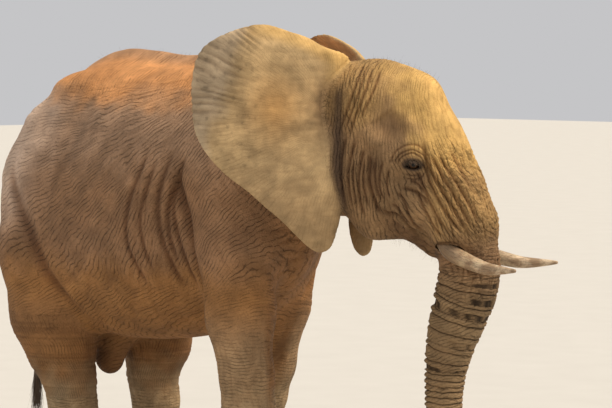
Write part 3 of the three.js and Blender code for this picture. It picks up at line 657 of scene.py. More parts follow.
class Survey:
    """What the folds and colours need to know about each point p of the skin, with normals n."""

    def __init__(self, p, n):
        self.p, self.n = p, n
        self.q = to_head(p)
        self.side = np.sign(self.q[:, 1])
        self.find_ears()
        self.find_trunk_and_head()
        self.find_legs()
        _, share, _ = along_limb(tail_stations, p)
        self.tail = (1 - ramp(share, 1.1, 1.5)) * (1 - ramp(p[:, 2], 1750, 1950)) * (p[:, 0] < -1150)
        self.body = 1 - np.maximum.reduce([self.ear, self.trunk, self.head, self.leg, self.tail])
        self.belly = self.body * (1 - ramp(p[:, 2], 1120, 1330))
        self.limb = np.maximum.reduce([self.trunk, self.leg, self.tail, self.belly])
        self.back = self.body * np.maximum(ramp(p[:, 2], 2130, 2290), ramp(p[:, 0], 200, 330))
        # Charts: (across the creases, along them, apart), in millimetres.
        self.chart_body()
        self.chart_head()
        self.chart_limbs()

    def find_ears(self):
        """How far in an ear each point is, and its place and side there."""
        bare = in_parts(flesh, self.p)
        self.ear, self.ear_u, self.ear_v, self.ear_front = np.zeros((4, len(self.p)))
        self.ear_edge = np.full(len(self.p), -999.0)
        for ear in ears.values():
            u, v, w = ear.local(self.p)
            on = (np.abs(ear.distance(self.p)) < 12) & (u > -60) & (u < 820)
            edge, bulge, _, _ = ear.read(u, v)
            self.ear = np.maximum(self.ear, on * ramp(bare, 4, 34))
            self.ear_u, self.ear_v = np.where(on, u, self.ear_u), np.where(on, v, self.ear_v)
            self.ear_front = np.where(on, ramp(w - bulge, -4, 4), self.ear_front)
            self.ear_edge = np.where(on, edge, self.ear_edge)

    def find_trunk_and_head(self):
        x, _, z = self.q.T
        self.trunk_along, share, axis = along_limb(TRUNK, self.q)
        self.trunk = (1 - ramp(share, 1.15, 1.4)) * ramp(-z, 300, 480) * (1 - self.ear)
        back = self.q - axis
        self.trunk_angle = np.arctan2(back[:, 1], back[:, 0] + back[:, 2] * 0.2)
        self.head = ramp(x + 28 - 0.12 * (z - 60), -190, -40) * (1 - self.ear) * (1 - self.trunk)
        self.head *= (share < 1.4) | (z > -520)
        self.face = np.maximum(self.head, self.trunk)

    def find_legs(self):
        p = self.p
        self.leg, self.leg_angle, self.thigh_angle = np.zeros((3, len(p)))
        self.leg_name = np.full(len(p), -1)
        for number, stations in enumerate(LEGS.values()):
            _, share, axis = along_limb(stations, p)
            weight = (1 - ramp(share, 1.1, 1.35)) * (1 - ramp(p[:, 2], 820, 1180))
            out = p - axis
            outwards = out[:, 1] * (number % 2 * 2 - 1)
            better = weight > self.leg
            self.leg = np.where(better, weight, self.leg)
            self.leg_angle = np.where(better, np.arctan2(out[:, 1], out[:, 0]), self.leg_angle)
            self.thigh_angle = np.where(better, np.arctan2(out[:, 0], outwards), self.thigh_angle)
            self.leg_name = np.where(better & (weight > 0.02), number, self.leg_name)

    def chart_body(self):
        """A fan that opens from the withers, and pace, the doublings by which its lines spread."""
        px, py, pz = self.p.T
        behind = np.hypot(WITHERS[0] - px, 120)
        wide, fall = FAN * (behind / FAN) ** 0.7, np.maximum(WITHERS[1] - pz, 60)
        radius = np.hypot(wide, fall)
        self.body_chart = np.stack([FAN * np.arctan2(fall, wide), radius, 400 * np.sign(py)], 1)
        turn = fall * 0.7 * (behind / FAN) ** -0.3 * (WITHERS[0] - px) / behind
        self.pace = np.log2(FAN * np.hypot(wide, turn) / radius ** 2)

    def chart_head(self):
        """Upright lines on the head, spokes on the ears, and lines across the back and shoulders."""
        x, y, z = self.q.T
        px, py, pz = self.p.T
        lean = 0.55 * ramp(x, 120, 480)
        self.head_chart = np.stack([x + lean * z, z - 0.3 * x + 0.8 * np.abs(y), 300 * self.side], 1)
        self.bark_across = x + 0.3 * z - np.abs(y)
        reach = np.hypot(self.ear_u - 40, self.ear_v - 220)
        spoke = np.arctan2(self.ear_v - 220, self.ear_u - 40)
        ear_chart = np.stack([520 * spoke, reach, 90 * self.side + 40 * self.ear_front], 1)
        self.head_chart = np.where(self.ear[:, None] > 0.5, ear_chart, self.head_chart)
        back_chart = np.stack([0.8 * px - 0.6 * np.minimum(pz, 2200), pz + py, 0 * px], 1)
        self.head_chart = np.where(self.back[:, None] > self.head[:, None], back_chart, self.head_chart)

    def chart_limbs(self):
        """Rings on trunk, tail and legs, upright lines on the thighs, slanting ones on the belly."""
        px, py, pz = self.p.T
        on_trunk = self.trunk > np.maximum(self.leg, self.tail)
        around = np.where(on_trunk, self.trunk_angle, self.leg_angle)
        down = np.where(on_trunk, self.trunk_along, pz)
        radius = np.where(on_trunk, 105, 140)
        self.limb_chart = np.column_stack([down, radius * np.cos(around), radius * np.sin(around)])
        thigh = (self.leg_name > 1) & ~on_trunk & (pz > 560)
        upright = np.stack([200 * self.thigh_angle + 0.3 * pz, 1.2 * pz, 0 * pz], 1)
        self.limb_chart = np.where(thigh[:, None], upright, self.limb_chart)
        slanting = np.stack([pz - 0.4 * px, px, py], 1)
        self.limb_chart = np.where((self.belly > self.leg)[:, None], slanting, self.limb_chart)


# ---------- Folds, rings and creases, pressed into the surface ----------
# Grooves: a line in a side view, the half width of the valley and its depth.
FACE_GROOVES = [
    ([(130, 70), (135, 27), (132, -79), (152, -192), (180, -250)], 10, 16),
    ([(105, 100), (90, 50), (70, -80), (72, -200), (88, -262)], 9, 13),
    ([(66, 150), (38, 86), (21, -5), (13, -119), (16, -240)], 9, 12),
    ([(104, 60), (101, -30), (100, -130), (112, -210)], 7, 9),
    ([(50, 60), (44, -40), (42, -140), (48, -220)], 7, 9),
    ([(6, 160), (-18, 80), (-24, -60), (-20, -240)], 9, 11),
    ([(166, 60), (164, -20), (168, -110), (184, -180)], 7, 9),
    ([(212, 40), (192, -20), (184, -108), (204, -175)], 7, 8),
    ([(244, 10), (226, -50), (222, -110), (236, -160)], 6, 6),
    ([(378, 150), (401, 90), (425, 0), (474, -74), (530, -171), (594, -282), (640, -365)], 10, 13),
    ([(372, 60), (405, 0), (437, -82), (486, -172), (550, -268), (612, -348)], 9, 12),
    ([(430, 80), (450, 30), (506, -60), (555, -149), (603, -238), (643, -330)], 10, 12),
    ([(455, 96), (483, 30), (539, -45), (587, -134), (635, -224), (664, -295)], 9, 10),
    ([(500, 100), (536, 37), (576, -38), (632, -135), (680, -224)], 8, 8),
    ([(352, -10), (375, -45), (407, -113), (439, -187), (488, -269), (560, -340)], 9, 10),
    ([(352, -96), (378, -140), (410, -220), (452, -300), (510, -350)], 8, 8),
    ([(280, -92), (330, -106), (371, -124), (403, -150), (430, -200)], 8, 12),
    ([(322, -62), (352, -70), (382, -92), (411, -135)], 6, 8),
    ([(160, -196), (200, -231), (246, -236), (276, -262), (317, -334), (357, -386), (412, -404)],
     11, 20),
    ([(262, -122), (288, -138), (306, -170), (329, -262), (366, -350)], 8, 10),
    ([(230, -180), (262, -196), (290, -240), (330, -300)], 8, 8),
    ([(20, 540), (44, 464), (35, 373), (-5, 252), (-50, 150)], 9, 9),
    ([(84, 530), (101, 427), (85, 336), (44, 222), (10, 140)], 8, 8),
    ([(50, 530), (70, 440), (60, 350), (20, 240), (-20, 150)], 7, 7),
    ([(130, 500), (140, 420), (120, 330), (80, 230)], 7, 6),
    ([(447, -400), (471, -378), (551, -372), (615, -408), (660, -445)], 11, 9),
]
FACE_RIDGES = [  # the brow's upper edge, the cheekbone and the rim of the eye's socket
    ([(230, 285), (270, 246), (316, 200), (381, 150), (425, 90)], 34, 15),
    ([(90, 190), (130, 150), (180, 96)], 36, 13),
    ([(330, 470), (385, 430), (430, 340)], 80, 8),
]
FACE_HOLLOWS = [
    ([(190, 270), (225, 230), (290, 190)], 62, 17),
    ([(440, -40), (470, -120), (500, -190)], 60, 8),
]
BODY_GROOVES = [
    ([(345, 1830), (368, 1727), (414, 1585), (445, 1417), (477, 1273), (527, 1118), (549, 986)],
     27, 32),
    ([(190, 1960), (161, 1819), (103, 1646), (74, 1462), (120, 1281), (150, 1180)], 16, 9),
    ([(250, 1900), (215, 1740), (170, 1560), (180, 1400), (215, 1250)], 15, 9),
    ([(330, 1930), (299, 1822), (270, 1652), (279, 1471), (316, 1291), (350, 1180)], 16, 12),
    ([(390, 1900), (350, 1740), (320, 1600), (322, 1440), (352, 1290)], 14, 10),
    ([(410, 1900), (380, 1825), (343, 1655), (360, 1474), (397, 1295), (430, 1180)], 14, 12),
    ([(-960, 1850), (-900, 1690), (-790, 1500), (-700, 1340), (-640, 1200), (-480, 990)], 50, 11),
]
BODY_RIDGES = [
    ([(-880, 1930), (-815, 1736), (-688, 1539), (-608, 1365), (-561, 1241), (-399, 1022), (-311, 913)],
     48, 17),
]
RING_LONG, RING_SHORT = 37, 23  # spacing of the trunk's rings at its root and near its tip,
RING_RUN = 1500  # and how far apart those two places are
EYE_CREASES = ((60, 6, 4.0), (74, 7, 4.6), (95, 3, 5.5))  # radius, depth, half width
BAG_CREASES = ((52, 5, 3.4), (70, 6, 4.6))


def groove(x, z, line, width):
    """A valley, 0 to 1 deep, along a smooth line, fading out at both its ends."""
    rows = smooth_line(line, 4)
    reach = 3 * width
    low, high = rows.min(0) - reach, rows.max(0) + reach
    close = (x > low[0]) & (x < high[0]) & (z > low[1]) & (z < high[1])
    xs, zs = x[close], z[close]
    best, share = np.full(len(xs), 1e9), np.zeros(len(xs))
    for i, ((ax, az), (bx, bz)) in enumerate(zip(rows, rows[1:])):
        dx, dz = bx - ax, bz - az
        t = np.clip(((xs - ax) * dx + (zs - az) * dz) / (dx * dx + dz * dz), 0, 1)
        away = np.hypot(xs - ax - t * dx, zs - az - t * dz)
        share = np.where(away < best, (i + t) / (len(rows) - 1), share)
        best = np.minimum(best, away)
    depth = np.zeros(len(x))
    depth[close] = bell(best, width) * np.minimum(ramp(share, -0.02, 0.2), 1 - ramp(share, 0.8, 1.02))
    return depth


def folds(across, along, apart, seed, sway=0.5, sharp=0.75):
    """Even valleys, 0 to 1 deep, one for each unit of across, that sway, come and go."""
    spot = np.stack([0.35 * across, along, apart], 1)
    wave = np.abs(np.sin(np.pi * (across + sway * noise(spot, seed))))
    strength = 0.6 + 0.8 * noise(spot * (1.7, 1.3, 1) + 9, seed + 1)
    return (1 - wave ** sharp) * np.clip(strength, 0.06, 1.1)


def inner_side(s):
    """How much each point of a leg looks to the other leg of its pair."""
    leg_side = np.where(s.leg_name % 2 == 0, -1, 1)
    return ramp(LEG_SPREAD - s.p[:, 1] * leg_side, -20, 50) * (s.leg_name >= 0)


class Relief:
    """Height of the relief in millimetres, and crease shade, how deep in a crease each point is, 0 to
    1, painted as shade into the colour.
    """

    def __init__(self, count):
        self.height, self.crease_shade = np.zeros((2, count))

    def press(self, valley, depth, mask=1.0, dark=1.0):
        self.height = self.height - depth * valley * mask
        self.crease_shade = np.maximum(self.crease_shade, dark * valley * mask)


def shape_body(relief, s):
    """The spine's ridge with a shelf on each side, the hollow before the hips, and the great folds."""
    px, py, pz = s.p.T
    on_back = ramp(s.n[:, 2], 0.35, 0.8) * within(px, -1080, -900, 560, 720) * s.body
    relief.height += on_back * (20 * bell(py, 52) - 12 * bell(np.abs(py) - 135, 70))
    before_hip = s.body * bell(px + 470, 150) * bell(pz - 2120, 150)
    relief.height -= 26 * before_hip * ramp(np.abs(py), 200, 420)
    relief.height += 8 * s.body * noise(s.p / (300, 300, 520), 21)
    flank = np.maximum(s.body, s.leg) * ramp(np.abs(py), 240, 380)
    for line, width, depth in BODY_RIDGES:
        relief.height += depth * groove(px, pz, line, width) * flank
    for line, width, depth in BODY_GROOVES:
        relief.press(groove(px, pz, line, width), 1.2 * depth, flank, 0.9)


def crease_body(relief, s):
    """Creases that fan out over the flank, folds at the armpit, elbow, throat and nape."""
    px, py, pz = s.p.T
    x, y, z = s.q.T
    across, along, apart = s.body_chart.T
    soft = 0.55 + 0.45 * ramp(noise(s.p / 330, 5), -0.4, 0.5)
    low = ramp(np.abs(s.n[:, 1]), 0.2, 0.6)
    fanned = s.body * soft * (0.45 + 0.55 * low)
    relief.press(creases(across / 40, along / 300, apart, 3, 0.2), 3.4, fanned, 0.3)
    relief.press(creases(across / 27, along / 160, apart + 7, 9, 0.22), 1.4, s.body, 0.15)
    armpit = s.body * bell(px - 230, 190) * within(pz, 930, 1150, 1750, 2050)
    lean = px - 0.22 * (pz - 1400) + 0.00022 * (pz - 1450) ** 2
    aside = np.abs(py)
    relief.press(folds(lean / 56, pz / 520, apart, 14), 9, armpit * ramp(aside, 250, 420), 0.6)
    arc = px * 0.35 - pz
    elbow = s.body * ramp(px, -350, 60) * (1 - ramp(pz, 1060, 1240)) * ramp(aside, 120, 260)
    relief.press(folds(arc / 48, px / 420, apart, 16), 6, elbow, 0.5)
    throat = s.body * ramp(px, 620, 800) * (1 - ramp(pz, 1500, 1850)) * (1 - ramp(aside, 180, 300))
    relief.press(folds((pz + 0.5 * px) / 62, aside / 260, apart, 17), 8, throat, 0.6)
    nape = np.maximum(s.body, s.head) * bell(x + 60, 120) * ramp(z, -80, 120)
    relief.press(folds(x / 36, (y + z) / 300, apart, 18), 7, nape * (1 - s.ear), 0.6)


def fold_head(relief, s):
    """Upright folds behind the eye, slanting ones from the brow to the trunk, a net at the crown."""
    x, y, z = s.q.T
    side_on = ramp(np.abs(y), 60, 130)
    across, along, apart = s.head_chart.T
    for line, width, depth in FACE_RIDGES:
        relief.height += depth * groove(x, z, line, width) * s.head * side_on
    relief.height += 5 * s.head * bell(x - 365, 70) * bell(z - 440, 70) * (1 - side_on)
    for line, width, depth in FACE_HOLLOWS:
        relief.height -= depth * groove(x, z, line, width) * s.head * side_on
    for line, width, depth in FACE_GROOVES:
        weight = side_on * s.face
        relief.press(groove(x, z, line, 1.2 * width), 1.3 * depth, weight, 1.0)
        relief.height += 0.4 * depth * groove(x, z, line, width * 2.4) * weight
    cheek = s.head * within(x, -90, -20, 250, 330)
    cheek = cheek * within(z, -320, -200, 60, 170)
    relief.press(folds(across / 22, along / 300, apart, 22), 5, cheek * side_on, 0.75)
    fan = s.face * ramp(x, 350, 450) * (1 - ramp(z, 20, 130)) * ramp(z, -520, -380)
    fading = fan * (1 - 0.5 * ramp(x, 430, 520))
    relief.press(folds(across / 27, along / 260, apart, 25, 0.6), 8.5, fading, 0.95)
    rungs = fan * (1 - ramp(np.abs(y), 130, 210))
    relief.press(folds((z + 0.4 * x) / 26, y / 60, apart, 26, 0.8), 7.5, rungs, 0.75)
    bark = s.face * ramp(x, 405, 480) * (1 - ramp(z, 60, 190)) * ramp(z, -600, -480)
    relief.press(folds(s.bark_across / 27, z / 160, apart, 27, 0.3, 0.9), 11, bark, 1.0)
    knobbly = z + 12 * np.sin(s.bark_across / 14)
    relief.press(folds(knobbly / 27, s.bark_across / 30, apart, 30, 0.9, 0.9), 4, bark, 0.45)
    crown = s.head * (1 - ramp(x, 110, 210)) * ramp(z, 130, 230)
    relief.press(folds((x + 0.45 * z) / 27, (z - x) / 200, apart, 28, 0.8), 7, crown, 0.85)
    relief.press(creases((x - 0.8 * z) / 34, (z + x) / 120, apart, 29, 0.16), 2, crown, 0.4)
    relief.press(creases(across / 24, along / 90, apart, 31, 0.2), 1.3, s.head, 0.3)


def fold_eyes(relief, s):
    """Arched folds over and under the lids."""
    apart = s.head_chart[:, 2]
    ahead, up, out = eye_axes(s.q)
    ring = np.hypot(ahead * 0.96, up) + 5 * noise(s.q / 45, 34) + 0.1 * ahead
    round_eye = (ring < 130) * (out > -70) * (1 - s.ear)
    above = ramp(up + 0.25 * ahead, -22, 6)
    for radius, depth, width in EYE_CREASES:
        relief.press(bell(ring - radius, width), depth, above * round_eye, 0.95)
        relief.height += 0.45 * depth * bell(ring - radius + 7, 5) * above * round_eye
    rims = 4.5 * bell(ring - 49, 6) * above + 3.5 * bell(ring - 43, 6) * (1 - above)
    relief.height += rims * round_eye
    below = (1 - above) * round_eye * ramp(ahead, -60, -10)
    for radius, depth, width in BAG_CREASES:
        relief.press(bell(ring - radius, width), depth, below, 0.95)
    drips = (1 - above) * round_eye * bell(ahead + 62, 34) * ramp(up, -120, -60)
    relief.press(folds(ahead / 15, up / 90, apart, 32, 0.3), 4, drips, 0.7)


def ring_trunk(relief, s):
    """Rings that stand out behind and break into finer ones in front, with lengthwise creases above."""
    apart = s.head_chart[:, 2]
    t = s.trunk_along
    spacing = RING_LONG + (RING_SHORT - RING_LONG) * np.clip(t / RING_RUN, 0, 1)
    turns = RING_RUN / (RING_SHORT - RING_LONG) * np.log(spacing / RING_LONG)
    behind = ramp(-np.cos(s.trunk_angle), -0.25, 0.75)
    wheel = [t / 60, 2 * np.cos(s.trunk_angle), 2 * np.sin(s.trunk_angle)]
    wander = 0.22 * noise(np.stack(wheel, 1), 33)
    free = s.trunk * ramp(t, 150, 330)
    wave = np.abs(np.sin(np.pi * (turns + wander)))
    s.rings = np.stack([turns + wander, free, s.pace], 1)
    relief.press(1 - wave ** 0.8, 8 + 11 * behind, free, 0.8)
    half = np.abs(np.sin(2 * np.pi * (turns + 1.4 * wander)))
    relief.press(1 - half ** 0.8, 4.2 * (1 - behind), free, 0.45)
    knobs = s.trunk * (1 - ramp(t, 230, 520)) * ramp(np.cos(s.trunk_angle), -0.5, 0.2)
    rung = np.abs(np.sin(np.pi * (t / 33 + 0.5 * noise(s.q / 60, 35))))
    relief.press(1 - rung ** 0.6, 4.5, knobs, 0.7)
    relief.press(creases(s.trunk_angle * 5.5, t / 110, apart, 37, 0.2), 5.5, knobs, 0.8)


def fold_legs(relief, s):
    """Fine rings, deeper at wrist, hock and ankle, and slanting folds inside the elbows."""
    px, _, pz = s.p.T
    apart = s.head_chart[:, 2]
    turn = s.limb_chart[:, 1:] / 45
    ring_noise = noise(np.column_stack([pz / 70, turn * 0.35]), 41)
    for every, depth, width in ((52, 2.6, 0.26), (27, 1.5, 0.3)):
        wave = np.abs(np.sin(np.pi * (pz / every + 0.9 * ring_noise)))
        joint = 0.6 + 0.9 * bell(pz - 590, 90) + 0.9 * bell(pz - 230, 70)
        relief.press(np.clip(1 - wave / width, 0, 1) ** 1.5, depth * joint, s.leg, 0.45)
    relief.press(creases(turn[:, 0] * 1.2, pz / 150, turn[:, 1] * 1.2, 43, 0.2), 2.4, s.leg, 0.35)
    inner = inner_side(s) * bell(pz - 860, 420) * np.maximum(s.leg, s.body)
    inner_fore, inner_hind = inner * (s.leg_name < 2), inner * (s.leg_name > 1)
    slant = folds((px * 0.8 - 0.6 * pz) / 46, (pz + px) / 330, apart, 45)
    relief.press(slant, 9, inner_fore, 0.8)
    relief.press(folds((pz + 40 * ring_noise) / 44, px / 200, apart, 46), 7, inner_hind, 0.7)
    relief.press(folds(px / 40, pz / 260, apart, 47), 6, inner_hind, 0.7)


def ripple_ears(relief, s):
    """Veins and ripples that spread from the root, a puckered rear margin, fine creases and folds along
    the front edge.
    """
    across, along, apart = s.head_chart.T
    relief.height += s.ear * 5 * noise(np.stack([across / 120, along / 260, apart / 90], 1), 51)
    rear = ramp(s.ear_u + 0.3 * s.ear_v, 560, 760) * ramp(s.ear_v, 80, 260)
    relief.press(folds(across / 30, along / 200, apart / 90, 53, 0.8, 1.2), 9, s.ear * rear, 0.55)
    relief.press(creases(s.ear_v / 34, s.ear_u / 130, apart / 90, 55, 0.2), 1.0, s.ear, 0.16)
    front = s.ear * bell(s.ear_u - 20, 60) * ramp(s.ear_v, -300, -100)
    relief.press(folds(s.ear_u / 24, s.ear_v / 300, apart / 90, 56), 5, front, 0.6)


def pressed(s):
    """Height of every fold and the painted shade in its crease; the soles and the lids' edges stay
    plain.
    """
    relief = Relief(len(s.p))
    for part in (shape_body, crease_body, fold_head, fold_eyes, ring_trunk, fold_legs, ripple_ears):
        part(relief, s)
    pz = s.p[:, 2]
    relief.press(1 - np.abs(np.sin(np.pi * pz / 24)) ** 0.7, 2, s.tail, 0.5)
    ahead, up, out = eye_axes(s.q)
    flat = ramp(pz, 6, 40)
    beyond_lids = np.maximum(np.maximum(np.abs(ahead) - 40, np.abs(up) - 28), 0)
    lids = bell(beyond_lids, 9) * (np.abs(s.q[:, 1]) > 60)
    keep_lids = 1 - lids * (out > -50)
    return relief.height * flat * keep_lids, np.clip(relief.crease_shade * keep_lids, 0, 1)


# ---------- Colours of the hide, with painted sunlight and shade ---
# The orange back and yellow brow colours are painted sunlight, the near-black hollow colour is painted
# shade, the darkest colour is the lids' own margin and painted shade, the orange-brown belly colour is
# partly painted light bounced from the ground, and the dark thigh colour also serves as painted shade
# between the forelegs.
HIDE = {
    "body": (0.245, 0.133, 0.066), "back": (0.56, 0.26, 0.095), "high": (0.35, 0.22, 0.135),
    "belly": (0.29, 0.135, 0.04), "rump": (0.62, 0.46, 0.35), "head": (0.25, 0.15, 0.07),
    "brow": (0.58, 0.36, 0.12), "ear": (0.48, 0.33, 0.165), "glow": (0.56, 0.30, 0.10),
    "hollow": (0.11, 0.055, 0.025), "margin": (0.40, 0.30, 0.19), "trunk": (0.275, 0.182, 0.092),
    "leg": (0.34, 0.215, 0.11), "thigh": (0.23, 0.108, 0.036), "shin": (0.36, 0.25, 0.135),
    "lid_dark_and_shade": (0.05, 0.03, 0.02),
}


class Paint:
    """Colour at each point of the skin, laid one coat over another."""

    def __init__(self, s):
        self.colour = np.tile(HIDE["body"], (len(s.p), 1))
        self.cloud, self.patch = noise(s.p / 260, 61), noise(s.p / 90, 63)
        self.fleck = noise(s.p / 34, 64)
        self.hazy = 60 * self.cloud + 40 * self.patch  # how far the coats' edges wander, in mm

    def lay(self, name, mask):
        mask = np.clip(mask, 0, 1)[:, None]
        self.colour = self.colour * (1 - mask) + np.array(HIDE[name]) * mask


def paint_body(paint, s):
    """Painted sunlight along the top of the back with painted shade beyond the spine, a lighter band
    higher on the flank, a pale rump, and orange-brown below that is partly painted light bounced from
    the ground.
    """
    px, py, pz = s.p.T
    hazy = paint.hazy
    paint.lay("high", s.body * ramp(pz + hazy, 1680, 2000) * 0.8)
    # orange-brown low on the body: partly the hide's own colour, partly painted warm light bounced up
    # from the ground
    paint.lay("belly", s.body * (1 - ramp(pz + hazy, 1180, 1420)) * 0.85)
    behind = ramp(-px - 250 * s.n[:, 0] + 0.3 * hazy, 560, 1000)
    paint.lay("rump", s.body * behind * ramp(pz + 0.4 * hazy, 1350, 1750) * 0.8)
    # painted sunlight: the top of the back in a warm orange
    paint.lay("back", s.body * ramp(pz + hazy, 2080, 2270))
    # painted shade on the far slope of the spine, beyond the sunlit band
    spine_far_shade = ramp(py, -170, -30) * ramp(pz, 2180, 2300) * (1 - ramp(px, 50, 350))
    paint.lay("high", s.body * spine_far_shade * 0.6)


def paint_legs(paint, s):
    px, py, pz = s.p.T
    fore = s.leg_name < 2
    sheathed = bell(px + 690, 150) * bell(py, 130) * (1 - ramp(pz, 880, 1000))
    paint.lay("thigh", np.maximum(s.leg * ~fore, sheathed))
    paint.lay("leg", s.leg * fore)
    # painted shade on the sheath under the belly
    paint.lay("hollow", sheathed * 0.45)
    # painted shade on the chest between the forelegs and on their inner sides
    shade_between_legs = bell(py - 40, 250) * ramp(px, 330, 480) * (1 - ramp(pz, 1450, 1750))
    paint.lay("thigh", (s.body + s.leg) * np.maximum(shade_between_legs, inner_side(s) * fore) * 0.9)
    paint.lay("shin", s.leg * (1 - ramp(pz + 90 * paint.patch, 500, 800)))


def paint_head(paint, s):
    """Olive head with painted sunlight on the brow and crown, and painted shade at the temple, the
    mouth, and below and behind the eye.
    """
    x, y, z = s.q.T
    patch = paint.patch
    paint.lay("head", ramp(x, -330, -180) * (s.body + s.head) * ramp(s.p[:, 2], 1300, 1600))
    paint.lay("head", s.head)
    # painted sunlight in yellow on the brow's front, the crown and the front of the trunk's root
    paint.lay("brow", s.head * ramp(x + 0.5 * z + 60 * patch, 330, 520) * ramp(z, -60, 60))
    paint.lay("brow", s.head * (1 - ramp(x, 120, 260)) * ramp(z + paint.hazy, 180, 330) * 0.4)
    paint.lay("brow", s.face * ramp(x, 380, 470) * ramp(z + 60 * patch, -420, -200) * 0.35)
    under_mouth = -(z + 196 + 0.825 * (x - 160)) / 1.3
    # painted shade in the temple's hollow
    paint.lay("hollow", s.head * bell(x - 235, 80) * bell(z - 222, 62) * 0.35)
    # painted shade on the lower lip, under the fold of the mouth
    lip_shade = ramp(under_mouth, -6, 26) * within(x, 120, 240, 400, 440)
    paint.lay("hollow", s.head * lip_shade * 0.75)
    # painted shade under and behind the eye
    under_eye_shade = s.head * bell(x - 372, 48) * bell(z + 50, 46)
    behind_eye_shade = s.head * bell(x - 150, 45) * bell(z + 20, 110)
    paint.lay("hollow", (under_eye_shade * 0.45 + behind_eye_shade * 0.5) * (np.abs(y) > 90))
    paint.lay("trunk", s.trunk * ramp(s.trunk_along, 60, 420))


def paint_ears(paint, s):
    """Pale sheets with a glowing middle, painted shade in the hollow at the root, painted sunlight
    along the upper edge, and a grey margin.
    """
    u, v = s.ear_u, s.ear_v
    front = s.ear * s.ear_front
    paint.lay("ear", s.ear)
    paint.lay("head", s.ear * (1 - ramp(v + paint.hazy, -260, 120)) * 0.45)
    paint.lay("glow", front * bell(u - 370, 130) * bell(v - 290, 150) * 0.75)
    # painted shade in the hollow at the ear's root
    paint.lay("hollow", front * bell(u - 95, 95) * bell(v - 290, 150) * 0.9)
    # painted sunlight along the ear's upper edge
    paint.lay("brow", front * ramp(v, 330, 430) * (1 - ramp(u, 40, 150)) * 0.6)
    rim = ramp(s.ear_edge, -95, -25) * ramp(v, 400, 520) * (1 - ramp(u, 380, 560))
    paint.lay("brow", front * rim * 0.7)
    paint.lay("margin", front * ramp(u + 0.35 * v + 40 * paint.patch, 690, 800))


def paint_edges(paint, s):
    """The tail, and painted shade at the ear's root and at the lip under the tusk's root, and round the
    eyes the lids' dark margins widened with painted shade.
    """
    x, y, z = s.q.T
    paint.lay("trunk", s.tail)
    # painted shade in the crease where the ear's root meets the head
    ear_root_shade = np.maximum(bell(s.ear_u - 6, 40) * s.ear * s.ear_front, bell(x + 46, 42) * (1 - s.ear))
    beside_cheek = within(z, -380, -160, 330, 470) * (np.abs(y) > 150)
    paint.lay("lid_dark_and_shade", ear_root_shade * beside_cheek * 0.85)
    # painted shade on the lower lip under the tusk's root
    paint.lay("lid_dark_and_shade", bell(x - 414, 34) * bell(z + 434, 26) * 0.75)
    ahead, up, out = eye_axes(s.q)
    # the lids' own dark margins, widened with painted shade round the eye
    rim = np.hypot(ahead / 54, (up - 2) / 33)
    paint.lay("lid_dark_and_shade", (1 - ramp(rim, 0.85, 1.2)) * (out > -30) * (np.abs(y) > 60) * 0.85)


def hide_colour(s, crease_shade):
    """Dust and hide colour at each point, with its painted sunlight and shade, mottled, and darker in
    the folds as painted shade.
    """
    paint = Paint(s)
    for part in (paint_body, paint_legs, paint_head, paint_ears, paint_edges):
        part(paint, s)
    cloud, patch, fleck = paint.cloud, paint.patch, paint.fleck
    tone = 1 + 0.16 * cloud + 0.12 * patch + s.ear * (0.16 * patch + 0.12 * fleck)
    tone = tone + s.head * 0.12 * fleck
    tone = tone - 0.25 * s.ear * ramp(noise(s.p / 24, 65), 0.35, 0.6) * ramp(s.ear_u, 300, 560)
    # painted shade: the deeper a point lies in a crease, the darker and redder it is
    return paint.colour * tone[:, None] * (1 - crease_shade[:, None] * (0.6, 0.68, 0.74))


# ---------- Materials ----------
class Nodes:
    """Builds one material's nodes; sockets and plain values can both be given as inputs."""

    def __init__(self, name):
        self.material = bpy.data.materials.new(name)
        self.material.use_nodes = True
        self.tree = self.material.node_tree
        self.tree.nodes.clear()

    def add(self, kind, inputs=None, output=0, **settings):
        node = self.tree.nodes.new("ShaderNode" + kind)
        for key, value in settings.items():
            setattr(node, key, value)
        for key, value in (inputs or {}).items():
            if isinstance(value, bpy.types.NodeSocket):
                self.tree.links.new(value, node.inputs[key])
            else:
                node.inputs[key].default_value = value
        return node.outputs[output]

    def maths(self, operation, a, b=0.0, c=0.0):
        return self.add("Math", {0: a, 1: b, 2: c}, operation=operation)

    def remap(self, value, low, high, to_low=0.0, to_high=1.0):
        return self.add("MapRange", {0: value, 1: low, 2: high, 3: to_low, 4: to_high},
                        interpolation_type="SMOOTHSTEP")

    def times(self, a, b):
        return self.maths("MULTIPLY", a, b)

    def from_middle(self, noise, width):
        """0 where the noise crosses its middle value, to 1 beyond the width on either side."""
        return self.remap(self.maths("ABSOLUTE", self.maths("SUBTRACT", noise, 0.5)), 0.0, width)

    def blend(self, share, a, b, mode="MIX"):
        inputs = {"Factor": share, 6: a, 7: b}
        return self.add("Mix", inputs, output=2, data_type="RGBA", blend_type=mode)

    def between(self, share, a, b):
        return self.add("Mix", {0: share, 2: a, 3: b}, data_type="FLOAT")

    def read(self, name, output=1):
        return self.add("Attribute", output=output, attribute_name=name)

    def part_of(self, vector, axis):
        return self.add("SeparateXYZ", {0: vector}, output=axis)

    def scaled(self, vector, scale):
        return self.add("VectorMath", {0: vector, 1: scale}, operation="MULTIPLY")

    def place(self, scale=(1, 1, 1)):
        return self.scaled(self.add("TexCoord", output=3), scale)

    def noise(self, vector, scale=1.0, detail=2.0, roughness=0.5):
        return self.add("TexNoise", {"Vector": vector, "Scale": scale, "Detail": detail,
                                     "Roughness": roughness})

    def bump(self, height, strength, distance):
        return self.add("Bump", {"Strength": strength, "Distance": distance, "Height": height})

    def finish(self, **inputs):
        """The material, from the principled shader's inputs, with _ for the spaces in their names."""
        named = {key.replace("_", " "): value for key, value in inputs.items()}
        shader = self.add("BsdfPrincipled", named)
        self.tree.links.new(shader, self.tree.nodes.new("ShaderNodeOutputMaterial").inputs[0])
        return self.material


LINES_PER_METRE = {"body": 46, "head": 54, "limb": 58}


